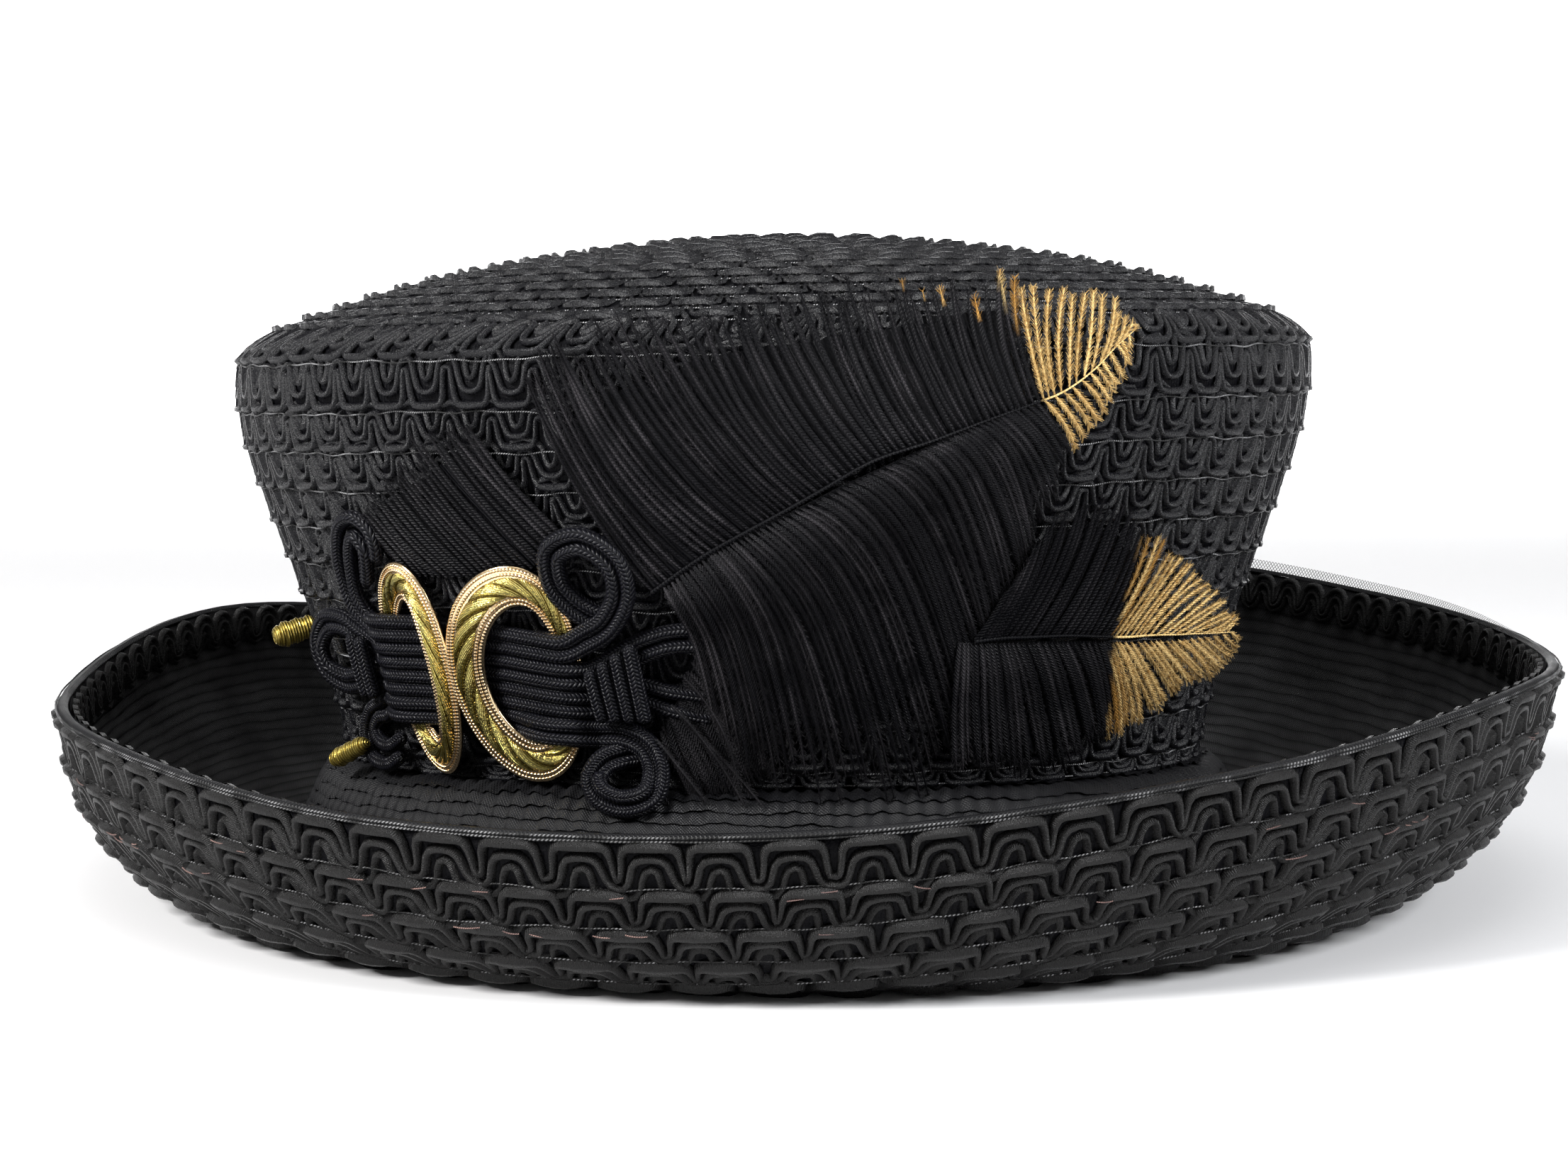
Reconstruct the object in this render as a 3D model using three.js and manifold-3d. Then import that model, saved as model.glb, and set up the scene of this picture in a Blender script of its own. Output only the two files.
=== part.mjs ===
// A dress hat of sewn black braid: a flared oval crown, a brim rolled up all round, a cord
// ornament with a gilt slide, and three feathers with gilded tips.
// Millimetres, +Z up. X runs from the hat's front to its back, and -Y is the trimmed side.
// A "turn" is an angle round the crown in degrees: 0 is the middle of the trimmed side, 90 the back.

import * as THREE from 'three';
import { mergeVertices } from 'three/addons/utils/BufferGeometryUtils.js';
import Module from 'manifold-3d';

// Walls and gaps
const BRAID_WALL = 2.2;
const CROWN_WALL = 2.4;
const FACING_WALL = 1.0;
const GAP = 0.3;
const SEGMENTS_ROUND = 48;
const MERGE_DISTANCE = 1e-3;
const CROWN_PROBE = 0.05;
const BRIM_PROBE = 0.5;
const TURN_PROBE = 1;

// The crown, measured from the headline straight up its own axis
const CROWN_ROWS = [
  { up: 0, halfLength: 102.5, halfWidth: 85.5 },
  { up: 20, halfLength: 107, halfWidth: 90 },
  { up: 40, halfLength: 113.5, halfWidth: 96.5 },
  { up: 60, halfLength: 121, halfWidth: 104 },
  { up: 76, halfLength: 126.5, halfWidth: 109.5 },
  { up: 89, halfLength: 128.6, halfWidth: 111.6 },
  { up: 96, halfLength: 128, halfWidth: 111 },
  { up: 101.5, halfLength: 122.5, halfWidth: 106 },
  { up: 108.8, halfLength: 103, halfWidth: 89 },
  { up: 114.8, halfLength: 81, halfWidth: 70 },
  { up: 119.4, halfLength: 53, halfWidth: 46 },
  { up: 122.2, halfLength: 26, halfWidth: 22.5 },
  { up: 123, halfLength: 0, halfWidth: 0 },
];
const SIDE_TOP_ROW = 5;
const CROWN_SHIFT = -2.5;
const BACK_RISE = 0.021;
const CROWN_LEAN = THREE.MathUtils.degToRad(3);
const HEADLINE_HEIGHT = 31.5;

// The brim, measured from the surface that it rests on
const FOOT = { halfLength: 128.5, halfWidth: 122, shiftX: -1, shiftY: -1, halfBreadth: 5 };
const RIM = { halfLength: 179.5, halfWidth: 159, shiftX: 5.5, shiftY: 1 };
const RIM_HEIGHTS = [
  { turn: 0, height: 38.5, netAbove: 1.0 },
  { turn: 30, height: 47.5, netAbove: 3.0 },
  { turn: 60, height: 55.5, netAbove: 1.5 },
  { turn: 90, height: 55, netAbove: 1.0 },
  { turn: 120, height: 59, netAbove: 3.5 },
  { turn: 150, height: 64, netAbove: 3.5 },
  { turn: 180, height: 57, netAbove: 2.5 },
  { turn: 210, height: 49.5, netAbove: 1.5 },
  { turn: 240, height: 56, netAbove: 1.0 },
  { turn: 270, height: 46.5, netAbove: 1.0 },
  { turn: 300, height: 44, netAbove: 1.0 },
  { turn: 330, height: 37.5, netAbove: 1.0 },
];
const SLOPE_ROWS = [
  { out: 0.33, up: 0.6 },
  { out: 0.7, up: 0.2 },
];
const WALL_ROWS = [
  { out: 0.36, up: 0.07 },
  { out: 0.68, up: 0.27 },
  { out: 0.9, up: 0.58 },
  { out: 1, up: 1 },
];
const TOP_ROW_HEIGHT = 16;
const INNER_ROW = { top: 1.5, bottom: 10.5, wall: 2 };
const COLLAR_INSIDE = 3.4;
const COLLAR_OUTSIDE = 1.2;
const COLLAR_DROP = BRAID_WALL + FACING_WALL + 3 * GAP;

// The cord ornament, in millimetres on the trimmed side. "along" runs round the crown from the
// middle of that side, positive toward the back, "up" is height above the headline and "lift"
// is the distance out from the crown.
const CORD_RADIUS = 1.45;
const CORD_PITCH = 3.2;
const CORD_QUARTER_SIDES = 2;
const CORD_STEP = 3.8;
const BAND_TOP = { front: { along: -98, up: 37.2 }, back: { along: -46, up: 33.7 } };
const LAST_WRAPPED_CORD = 6;
const BAND_RISES = [
  { along: -107.5, lift: 2, lowLift: 2.6 },
  { along: -103, lift: 4, lowLift: 4.6 },
  { along: -98, lift: 4.2, lowLift: 5 },
  { along: -90, lift: 2.6, lowLift: 2.8 },
  { along: -79, lift: 2, lowLift: 2 },
  { along: -67.5, lift: 2.3, lowLift: 2.1 },
  { along: -56, lift: 3.8, lowLift: 5.3 },
  { along: -48.6, lift: 4.2, lowLift: 4.8 },
];
const station = (along, up, lift) => ({ along, up, lift });
const LOOPS = {
  topFrontInner: [
    station(-104, 44.5, 2.2), station(-101.9, 49, 2.2), station(-100.6, 53.4, 2.2),
    station(-102.8, 56, 2.2), station(-105.6, 53.4, 2.2), station(-108.2, 47.5, 2.2),
    station(-109.4, 42, 2.2),
  ],
  topFrontOuter: [
    station(-98, 50.2, 2), station(-96.4, 53.6, 2.2), station(-96.8, 57.6, 2.2),
    station(-100.8, 60.4, 2.2), station(-106.4, 58.6, 2.2), station(-111.2, 52, 2.2),
    station(-113.2, 44.5, 2.2), station(-112.2, 38, 2.2),
  ],
  topBackInner: [
    station(-43, 36, 4), station(-38.2, 39.8, 4.6), station(-34.8, 45.5, 5),
    station(-35.8, 51.5, 4.8), station(-41, 54.6, 4.2), station(-46.4, 52, 3.4),
    station(-48, 46.5, 2.6), station(-45.2, 43.4, 2), station(-41.5, 42.8, 1.8),
  ],
  topBackOuter: [
    station(-43, 32.8, 4), station(-36.2, 36.8, 4.6), station(-31.5, 44.8, 5),
    station(-32.8, 53, 4.8), station(-41, 58, 4.2), station(-49.6, 54.4, 3.4),
    station(-51.5, 46, 2.8), station(-48, 40.6, 2), station(-43.4, 39.2, 1.8),
  ],
  middleOuter: [
    station(-113.5, 33.6, 2), station(-119, 36.4, 2.2), station(-128, 36.4, 3.2),
    station(-134, 30.4, 5), station(-133, 23.5, 5), station(-126, 19.6, 3.2),
    station(-116, 20.6, 2),
  ],
  middleInner: [
    station(-114.5, 30, 2), station(-119.5, 32.8, 2.2), station(-126, 32.6, 3),
    station(-130.2, 29.4, 4.4), station(-129.4, 25.4, 4.4), station(-124.5, 23.2, 3),
    station(-116, 24.2, 2),
  ],
  lowFrontOuter: [
    station(-104, 5.2, 5), station(-110, 2.8, 5), station(-118, 3.6, 4.4),
    station(-122.4, 8.4, 3), station(-119, 14, 2.4), station(-113, 16.6, 2),
  ],
  lowFrontInner: [
    station(-104, 9.4, 3.4), station(-110, 6.8, 3.6), station(-115.6, 7.6, 3.2),
    station(-117.6, 10.2, 2.6), station(-114.6, 12.8, 2.3), station(-111, 13.4, 2),
  ],
  lowBackOuter: [
    station(-43.8, 13.8, 2.2), station(-37, 13, 2.2), station(-31.5, 10, 3.2),
    station(-29, 5, 5), station(-30.5, -0.6, 8.4), station(-38, -3, 9.4),
    station(-46, -1, 8.4), station(-49, 3.4, 6), station(-46, 7.4, 5.4),
    station(-41.5, 8.6, 5.4),
  ],
  lowBackInner: [
    station(-43.8, 10.6, 2.2), station(-38, 9.7, 2.4), station(-34.4, 7.6, 3.4),
    station(-32.4, 4.2, 5.2), station(-33.8, 1.2, 7), station(-38.5, 0, 7.6),
    station(-43.2, 1, 6.8), station(-45.4, 3.8, 5.4),
  ],
  tail3: [station(-14, 36, 2.2), station(-24, 35.6, 2.2), station(-33, 32.6, 2),
    station(-43.8, 27.2, 2)],
  tail4: [station(-14, 32.4, 2.2), station(-24, 32, 2.2), station(-33, 28.8, 2),
    station(-43.8, 24, 2)],
  tail5: [station(-43.8, 20.6, 2), station(-33, 23.6, 2), station(-24, 22, 2.2),
    station(-14, 20.8, 2.2)],
  tail6: [station(-43.8, 17.4, 2), station(-33, 20, 2), station(-24, 17.6, 2.2),
    station(-14, 15.8, 2.2)],
};
const WRAP_LIFT = { end: 5.3, middle: 5.6 };
const WRAPS = {
  front_wrap_1: { topAlong: -109.2, topUp: 33.6, lowAlong: -109.6, lowUp: 18.6 },
  front_wrap_2: { topAlong: -112.5, topUp: 34, lowAlong: -113, lowUp: 18.6 },
  back_wrap_1: { topAlong: -42.8, topUp: 28.2, lowAlong: -40.6, lowUp: 15.8 },
  back_wrap_2: { topAlong: -39.4, topUp: 30, lowAlong: -37.2, lowUp: 15.8 },
  back_wrap_3: { topAlong: -36, topUp: 32, lowAlong: -33.8, lowUp: 15.8 },
  back_wrap_4: { topAlong: -32.6, topUp: 34, lowAlong: -30.4, lowUp: 15.8 },
};

// The gilt slide: two open rings back to back, in the same measure as the cords
const TORUS_TUBE = 0.3;
const SLIDE = {
  sides: 8,
  steps: 36,
  halfSpine: 5.2,
  halfBar: 2,
  halfSpineThick: 1.6,
  halfBarThick: 0.9,
  spineLift: 6.2,
  barLift: 1.3,
};
const SLIDE_RINGS = [
  { along: -62, up: 26.4, halfLength: 11.5, halfHeight: 21, spineSide: -1 },
  { along: -92, up: 27, halfLength: 8.5, halfHeight: 21, spineSide: 1 },
];

// Two cord ends wound with gold thread
const GILT_SIDES = 10;
const GILT_OUTLINE = [
  { along: 0, width: 0 },
  { along: 0, width: 0.85 },
  { along: 0.25, width: 1 },
  { along: 0.75, width: 1 },
  { along: 0.95, width: 0.8 },
  { along: 1, width: 0 },
];
const GILT_ENDS = {
  upper_gilt_end: {
    root: station(-144, 33, 0.6), tip: station(-144, 33.6, 11.6), radius: 3,
  },
  lower_gilt_end: {
    root: station(-116.6, 7.8, 7.2), tip: station(-129.5, 3.3, 10), radius: 2.3,
  },
};
const PIN_RADIUS = 0.4;
const PIN_ROUTE = [station(-127, 27.5, 1.6), station(-120, 26.6, 1), station(-112, 26, 0.9)];

// The feathers: a row for each barb line, from its lower tip over the shaft to its upper tip,
// each place as [along, up, lift]
const FEATHER_STEPS = 3;
const FEATHER_HALF = { shaft: 0.9, tips: 0.35 };
const FEATHERS = {
  feather_upper: [
    { low: [-28, 41, 4.6], shaft: [-27, 46.5, 5], top: [-33, 62, 4.6] },
    { low: [-22, 25, 5], shaft: [-20, 50, 5], top: [-49, 89, 4] },
    { low: [-11, 14, 5], shaft: [-8, 56.5, 5], top: [-41, 94, 4] },
    { low: [3, 2, 5], shaft: [4, 63, 4.6], top: [-28, 99, 4] },
    { low: [20, -1, 6], shaft: [18, 70, 4.2], top: [-8, 104, 4] },
    { low: [34, 8, 5], shaft: [32, 76, 4], top: [10, 108, 4] },
    { low: [43, 34, 4], shaft: [45, 80.5, 3.6], top: [28, 109, 3.6] },
    { low: [52, 54, 3.4], shaft: [56, 84, 3], top: [45, 109, 3.4] },
    { low: [62, 66, 2.6], shaft: [64, 88.5, 2.4], top: [58, 106, 3] },
    { low: [70, 80, 2], shaft: [70, 93, 2], top: [67, 102, 2.6] },
    { low: [75, 92, 1.8], shaft: [75, 96, 1.8], top: [75.5, 98, 1.8] },
  ],
  feather_lower: [
    { low: [33, 10, 1.6], shaft: [35, 31, 1.6], top: [39, 36, 1.6] },
    { low: [44, 3, 3.4], shaft: [46, 33, 1.6], top: [60, 60, 1.6] },
    { low: [60, 0, 4], shaft: [60, 33, 1.6], top: [70, 66, 1.6] },
    { low: [76, 1, 4], shaft: [74, 33, 1.8], top: [82, 62, 1.8] },
    { low: [92, 6, 3.2], shaft: [88, 32, 2.4], top: [96, 55, 2.4] },
    { low: [104, 13, 4], shaft: [100, 31, 3.8], top: [106, 46, 3.8] },
    { low: [113, 21, 5.6], shaft: [110, 30, 5.6], top: [114, 37, 5.6] },
    { low: [119, 26, 7.4], shaft: [118, 29, 7.4], top: [119, 31, 7.4] },
  ],
  feather_tuft: [
    { low: [-76, 50, 1.3], shaft: [-84, 60, 1.3], top: [-91, 69, 1.3] },
    { low: [-70, 50, 1.3], shaft: [-79, 62, 1.3], top: [-85, 75, 1.3] },
    { low: [-64, 51, 1.3], shaft: [-71, 65, 1.3], top: [-77, 79, 1.3] },
    { low: [-59, 52, 1.3], shaft: [-64, 66, 1.3], top: [-67, 81, 1.3] },
    { low: [-55, 56, 1.3], shaft: [-58, 68, 1.3], top: [-59, 81, 1.3] },
  ],
};

function radians(turn) {
  return THREE.MathUtils.degToRad(turn);
}

function ovalPoint(oval, turn, height) {
  return new THREE.Vector3(
    oval.shiftX + oval.halfLength * Math.sin(radians(turn)),
    oval.shiftY - oval.halfWidth * Math.cos(radians(turn)),
    height,
  );
}

// Takes a point of the crown from its own upright axes to the hat as it rests.
function leanBack(point) {
  const risen = point.z + BACK_RISE * point.x * Math.min(point.z / CROWN_ROWS[SIDE_TOP_ROW].up, 1);
  return new THREE.Vector3(
    point.x,
    point.y * Math.cos(CROWN_LEAN) + risen * Math.sin(CROWN_LEAN),
    HEADLINE_HEIGHT + risen * Math.cos(CROWN_LEAN) - point.y * Math.sin(CROWN_LEAN),
  );
}

const leanBackDirection = new THREE.Vector3(0, Math.sin(CROWN_LEAN), Math.cos(CROWN_LEAN));

const crownProfile = new THREE.CatmullRomCurve3(
  CROWN_ROWS.map((row) => new THREE.Vector3(row.halfLength, row.halfWidth, row.up)),
  false,
  'centripetal',
);

// The crown's outer face: row 0 is the headline, and the last row is the top's middle.
function crownFace(turn, row) {
  const size = crownProfile.getPoint(THREE.MathUtils.clamp(row / (CROWN_ROWS.length - 1), 0, 1));
  const oval = { halfLength: size.x, halfWidth: size.y, shiftX: CROWN_SHIFT, shiftY: 0 };
  return leanBack(ovalPoint(oval, turn, size.z));
}

// Rim height or net height at any turn, eased between the rows of its table.
function roundTable(table, column, turn) {
  const step = 360 / table.length;
  const place = THREE.MathUtils.euclideanModulo(turn, 360) / step;
  const first = Math.floor(place);
  const value = (index) => table[THREE.MathUtils.euclideanModulo(index, table.length)][column];
  const t = place - first;
  const slopeIn = (value(first + 1) - value(first - 1)) / 2;
  const slopeOut = (value(first + 2) - value(first)) / 2;
  return value(first) * (2 * t ** 3 - 3 * t ** 2 + 1) + slopeIn * (t ** 3 - 2 * t ** 2 + t)
    + value(first + 1) * (3 * t ** 2 - 2 * t ** 3) + slopeOut * (t ** 3 - t ** 2);
}

function widened(oval, by) {
  return { ...oval, halfLength: oval.halfLength + by, halfWidth: oval.halfWidth + by };
}

// The brim's under face as rows of points at one turn, from inside the headline out to the rim.
function brimRows(turn) {
  const base = { ...CROWN_ROWS[0], shiftX: CROWN_SHIFT, shiftY: 0 };
  const collarInner = leanBack(ovalPoint(widened(base, -COLLAR_INSIDE), turn, -COLLAR_DROP));
  const collarOuter = leanBack(ovalPoint(widened(base, COLLAR_OUTSIDE), turn, -COLLAR_DROP));
  const footInner = ovalPoint(widened(FOOT, -FOOT.halfBreadth), turn, 0);
  const footOuter = ovalPoint(widened(FOOT, FOOT.halfBreadth), turn, 0);
  const rim = ovalPoint(RIM, turn, roundTable(RIM_HEIGHTS, 'height', turn));
  const between = (from, to, out, up) => new THREE.Vector3(
    THREE.MathUtils.lerp(from.x, to.x, out),
    THREE.MathUtils.lerp(from.y, to.y, out),
    THREE.MathUtils.lerp(Math.min(from.z, to.z), Math.max(from.z, to.z), up),
  );
  return [
    collarInner,
    collarOuter,
    ...SLOPE_ROWS.map((row) => between(collarOuter, footInner, row.out, row.up)),
    footInner,
    footOuter,
    ...WALL_ROWS.map((row) => between(footOuter, rim, row.out, row.up)),
  ];
}
const BRIM_ROW_COUNT = 2 + SLOPE_ROWS.length + 2 + WALL_ROWS.length;

function brimFace(turn, row) {
  const rows = brimRows(turn);
  const first = THREE.MathUtils.clamp(Math.floor(row), 0, rows.length - 2);
  return rows[first].clone().lerp(rows[first + 1], row - first);
}

// The direction out of a face at one of its points, from its neighbours along and across it.
function outward(face, turn, row, rowStep) {
  const across = face(turn + TURN_PROBE, row).sub(face(turn - TURN_PROBE, row));
  const along = face(turn, row + rowStep).sub(face(turn, row - rowStep));
  return across.cross(along).normalize();
}

// Bends a flat ring onto a face: the ring's radius counts rows and its height is the lift.
function bendRing(profile, reading) {
  const geometry = new THREE.LatheGeometry(profile, SEGMENTS_ROUND);
  bend(geometry, (x, lift, z) => {
    const turn = THREE.MathUtils.radToDeg(Math.atan2(x, z));
    return reading(turn, Math.hypot(x, z), lift);
  });
  return closedBody(geometry);
}

function bend(geometry, reading) {
  const position = geometry.attributes.position;
  for (let i = 0; i < position.count; i += 1) {
    const point = reading(position.getX(i), position.getY(i), position.getZ(i));
    position.setXYZ(i, point.x, point.y, point.z);
  }
}

function signedVolume(geometry) {
  const position = geometry.attributes.position;
  const corner = (i) => new THREE.Vector3().fromBufferAttribute(position, geometry.index.getX(i));
  let volume = 0;
  for (let i = 0; i < geometry.index.count; i += 3) {
    volume += corner(i).dot(corner(i + 1).cross(corner(i + 2))) / 6;
  }
  return volume;
}

// Merges shared corners, drops flattened triangles and turns every face outward.
function closedBody(geometry) {
  geometry.deleteAttribute('normal');
  geometry.deleteAttribute('uv');
  const merged = mergeVertices(geometry, MERGE_DISTANCE);
  const faces = [];
  for (let i = 0; i < merged.index.count; i += 3) {
    const [a, b, c] = [0, 1, 2].map((k) => merged.index.getX(i + k));
    if (a !== b && b !== c && c !== a) faces.push([a, b, c]);
  }
  merged.setIndex(faces.flat());
  if (signedVolume(merged) < 0) merged.setIndex(faces.flatMap(([a, b, c]) => [a, c, b]));
  merged.computeVertexNormals();
  return merged;
}

function crownGeometry() {
  const top = CROWN_ROWS.length - 1;
  const outer = CROWN_ROWS.map((_, radius) => new THREE.Vector2(radius, 0));
  const inner = outer
    .filter(({ x }) => x % 2 === 0)
    .map(({ x }) => new THREE.Vector2(x, -CROWN_WALL));
  return bendRing([...outer, ...inner.reverse()], (turn, radius, lift) => {
    const row = top - radius;
    const normal = radius < 0.5 ? leanBackDirection : outward(crownFace, turn, row, CROWN_PROBE);
    return crownFace(turn, row).addScaledVector(normal, lift);
  });
}

// A wall that follows the brim between two lifts above its under face.
function brimWall(rows, lowLift, highLift, lastRow) {
  const under = rows.map((row) => new THREE.Vector2(row + 1, lowLift));
  const over = rows.map((row) => new THREE.Vector2(row + 1, highLift)).reverse();
  return bendRing([...under, ...over, under[0]], (turn, radius, lift) => {
    const row = lastRow ? lastRow(turn, radius - 1) : radius - 1;
    return brimFace(turn, row).addScaledVector(outward(brimFace, turn, row, BRIM_PROBE), -lift);
  });
}

const BRIM_ROWS = Array.from({ length: BRIM_ROW_COUNT }, (_, row) => row);
const TOP_ROW = BRIM_ROW_COUNT - 1;
const FACING_LIFT = BRAID_WALL + 2 * GAP;
const INNER_ROW_LIFT = FACING_LIFT + FACING_WALL + GAP;

function brimGeometry() {
  return brimWall(BRIM_ROWS, 0, BRAID_WALL);
}

function facingGeometry() {
  const rows = [...BRIM_ROWS, BRIM_ROW_COUNT];
  return brimWall(rows, FACING_LIFT, FACING_LIFT + FACING_WALL, (turn, row) => {
    const above = roundTable(RIM_HEIGHTS, 'netAbove', turn) / TOP_ROW_HEIGHT;
    return row > TOP_ROW ? TOP_ROW + above : row;
  });
}

function innerRowGeometry() {
  const rows = [INNER_ROW.bottom, (INNER_ROW.bottom + INNER_ROW.top) / 2, INNER_ROW.top];
  const below = rows.map((depth) => TOP_ROW - depth / TOP_ROW_HEIGHT);
  return brimWall(below, INNER_ROW_LIFT, INNER_ROW_LIFT + INNER_ROW.wall);
}

// The trimmed side: "along" is millimetres round the crown from the middle of that side,
// positive toward the back, "up" is height above the headline and "lift" is out from the crown.
const ALONG_LEVEL = 3;
const ALONG_STEPS = 240;
const TRIM_TURN_RANGE = 120;
const HALVINGS = 24;
const alongTable = (() => {
  const turns = Array.from(
    { length: ALONG_STEPS + 1 },
    (_, i) => THREE.MathUtils.lerp(-TRIM_TURN_RANGE, TRIM_TURN_RANGE, i / ALONG_STEPS),
  );
  let along = 0;
  const rows = turns.map((turn, i) => {
    if (i > 0) {
      along += crownFace(turn, ALONG_LEVEL).distanceTo(crownFace(turns[i - 1], ALONG_LEVEL));
    }
    return { turn, along };
  });
  const middle = rows[ALONG_STEPS / 2].along;
  return rows.map((row) => ({ turn: row.turn, along: row.along - middle }));
})();

function turnAt(along) {
  const next = Math.max(1, alongTable.findIndex((row) => row.along >= along));
  const [low, high] = [alongTable[next - 1], alongTable[next]];
  return THREE.MathUtils.mapLinear(along, low.along, high.along, low.turn, high.turn);
}

function rowAtHeight(up) {
  let [low, high] = [0, SIDE_TOP_ROW];
  for (let i = 0; i < HALVINGS; i += 1) {
    const middle = (low + high) / 2;
    if (crownProfile.getPoint(middle / (CROWN_ROWS.length - 1)).z < up) low = middle;
    else high = middle;
  }
  return (low + high) / 2;
}

function sidePoint({ along, up, lift }) {
  const turn = turnAt(along);
  const level = THREE.MathUtils.clamp(up, 1, CROWN_ROWS[SIDE_TOP_ROW].up);
  const row = rowAtHeight(level);
  const point = crownFace(turn, row);
  const rise = crownFace(turn, row).sub(crownFace(turn, row - CROWN_PROBE)).normalize();
  return point
    .addScaledVector(rise, up - level)
    .addScaledVector(outward(crownFace, turn, row, CROWN_PROBE), lift);
}

// A braided cord through a table's points. Its ends are cut square.
function cordGeometry(stations, radius) {
  const path = new THREE.CatmullRomCurve3(stations.map(sidePoint), false, 'centripetal');
  const section = new THREE.Shape();
  section.absarc(0, 0, radius, 0, 2 * Math.PI);
  const geometry = new THREE.ExtrudeGeometry(section, {
    steps: Math.ceil(path.getLength() / CORD_STEP),
    curveSegments: 2 * CORD_QUARTER_SIDES,
    bevelEnabled: false,
    extrudePath: path,
  });
  return closedBody(geometry);
}

// The band of cords laid side by side. Cord 1 is the top one. The band rises over the slide's
// outer bars and dips under its two spines.
function bandStation(cord, along, lift) {
  const place = THREE.MathUtils.clamp(
    (along - BAND_TOP.front.along) / (BAND_TOP.back.along - BAND_TOP.front.along),
    0,
    1,
  );
  const top = THREE.MathUtils.lerp(BAND_TOP.front.up, BAND_TOP.back.up, place);
  return { along, up: top - (cord - 1) * CORD_PITCH, lift };
}

function bandStretch(cord, fromBack = false) {
  const stretch = BAND_RISES.map(({ along, lift, lowLift }) => (
    bandStation(cord, along, cord > LAST_WRAPPED_CORD ? lowLift : lift)));
  return fromBack ? stretch.reverse() : stretch;
}

function cordStations() {
  return {
    cord_1: [...LOOPS.topFrontInner, ...bandStretch(1), ...LOOPS.topBackInner],
    cord_2: [...LOOPS.topFrontOuter, ...bandStretch(2), ...LOOPS.topBackOuter],
    cord_3: [...LOOPS.tail3, ...bandStretch(3, true), ...LOOPS.middleOuter,
      ...bandStretch(6), ...LOOPS.tail6],
    cord_4: [...LOOPS.tail4, ...bandStretch(4, true), ...LOOPS.middleInner,
      ...bandStretch(5), ...LOOPS.tail5],
    cord_5: [...LOOPS.lowFrontOuter, ...bandStretch(7), ...LOOPS.lowBackOuter],
    cord_6: [...LOOPS.lowFrontInner, ...bandStretch(8), ...LOOPS.lowBackInner],
  };
}

// A short cord laid over the band from its top edge to its lower edge
function wrapStations({ topAlong, topUp, lowAlong, lowUp }) {
  return [
    station(topAlong, topUp, WRAP_LIFT.end),
    station((topAlong + lowAlong) / 2, (topUp + lowUp) / 2, WRAP_LIFT.middle),
    station(lowAlong, lowUp, WRAP_LIFT.end),
  ];
}

// One open ring of the slide. Its spine is broad and stands over the cords; its bar is thin.
function slideRing({ along, up, halfLength, halfHeight, spineSide }) {
  const ring = new THREE.TorusGeometry(1, TORUS_TUBE, SLIDE.sides, SLIDE.steps);
  bend(ring, (x, y, z) => {
    const turn = Math.atan2(y, x);
    const across = (Math.hypot(x, y) - 1) / TORUS_TUBE;
    const towardSpine = (1 + spineSide * Math.cos(turn)) / 2;
    const halfBand = THREE.MathUtils.lerp(SLIDE.halfBar, SLIDE.halfSpine, towardSpine);
    const halfThick = THREE.MathUtils.lerp(SLIDE.halfBarThick, SLIDE.halfSpineThick, towardSpine);
    return sidePoint({
      along: along + (halfLength + across * halfBand) * Math.cos(turn),
      up: up + (halfHeight + across * halfBand) * Math.sin(turn),
      lift: THREE.MathUtils.lerp(SLIDE.barLift, SLIDE.spineLift, towardSpine)
        + (z / TORUS_TUBE) * halfThick,
    });
  });
  return closedBody(ring);
}

async function joined(geometries) {
  const wasm = await Module();
  wasm.setup();
  const solids = geometries.map((geometry) => new wasm.Manifold(new wasm.Mesh({
    numProp: 3,
    vertProperties: new Float32Array(geometry.attributes.position.array),
    triVerts: new Uint32Array(geometry.index.array),
  })));
  const mesh = solids.reduce((whole, solid) => whole.add(solid)).getMesh();
  const geometry = new THREE.BufferGeometry();
  geometry.setAttribute('position', new THREE.BufferAttribute(mesh.vertProperties, 3));
  geometry.setIndex(new THREE.BufferAttribute(mesh.triVerts, 1));
  geometry.computeVertexNormals();
  return geometry;
}

// A feather's outer form: a thin plate from its lower barb tips over its shaft to its upper tips.
function featherGeometry(rows) {
  const plate = new THREE.BoxGeometry(rows.length - 1, 2, 1, rows.length - 1, FEATHER_STEPS * 2, 1);
  bend(plate, (x, y, z) => {
    const row = rows[Math.round(x + (rows.length - 1) / 2)];
    const tip = y > 0 ? row.top : row.low;
    const reach = Math.abs(y);
    const half = THREE.MathUtils.lerp(FEATHER_HALF.shaft, FEATHER_HALF.tips, reach);
    const [along, up, lift] = row.shaft.map((value, i) => (
      THREE.MathUtils.lerp(value, tip[i], reach)));
    return sidePoint({ along, up, lift: lift + z * 2 * half });
  });
  return closedBody(plate);
}

// A cord end wound with gold thread, blunt and a little thicker in the middle.
function giltEndGeometry({ root, tip, radius }) {
  const from = sidePoint(root);
  const axis = sidePoint(tip).sub(from);
  const length = axis.length();
  const profile = GILT_OUTLINE.map(({ along, width }) => (
    new THREE.Vector2(radius * width, length * along)));
  const geometry = new THREE.LatheGeometry(profile, GILT_SIDES);
  const turn = new THREE.Quaternion().setFromUnitVectors(
    new THREE.Vector3(0, 1, 0),
    axis.normalize(),
  );
  geometry.applyQuaternion(turn);
  geometry.translate(from.x, from.y, from.z);
  return closedBody(geometry);
}

const hat = new THREE.Group();

function addPiece(name, geometry, look) {
  const material = new THREE.MeshStandardMaterial(look);
  const mesh = new THREE.Mesh(geometry, material);
  mesh.name = name;
  hat.add(mesh);
}

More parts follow.
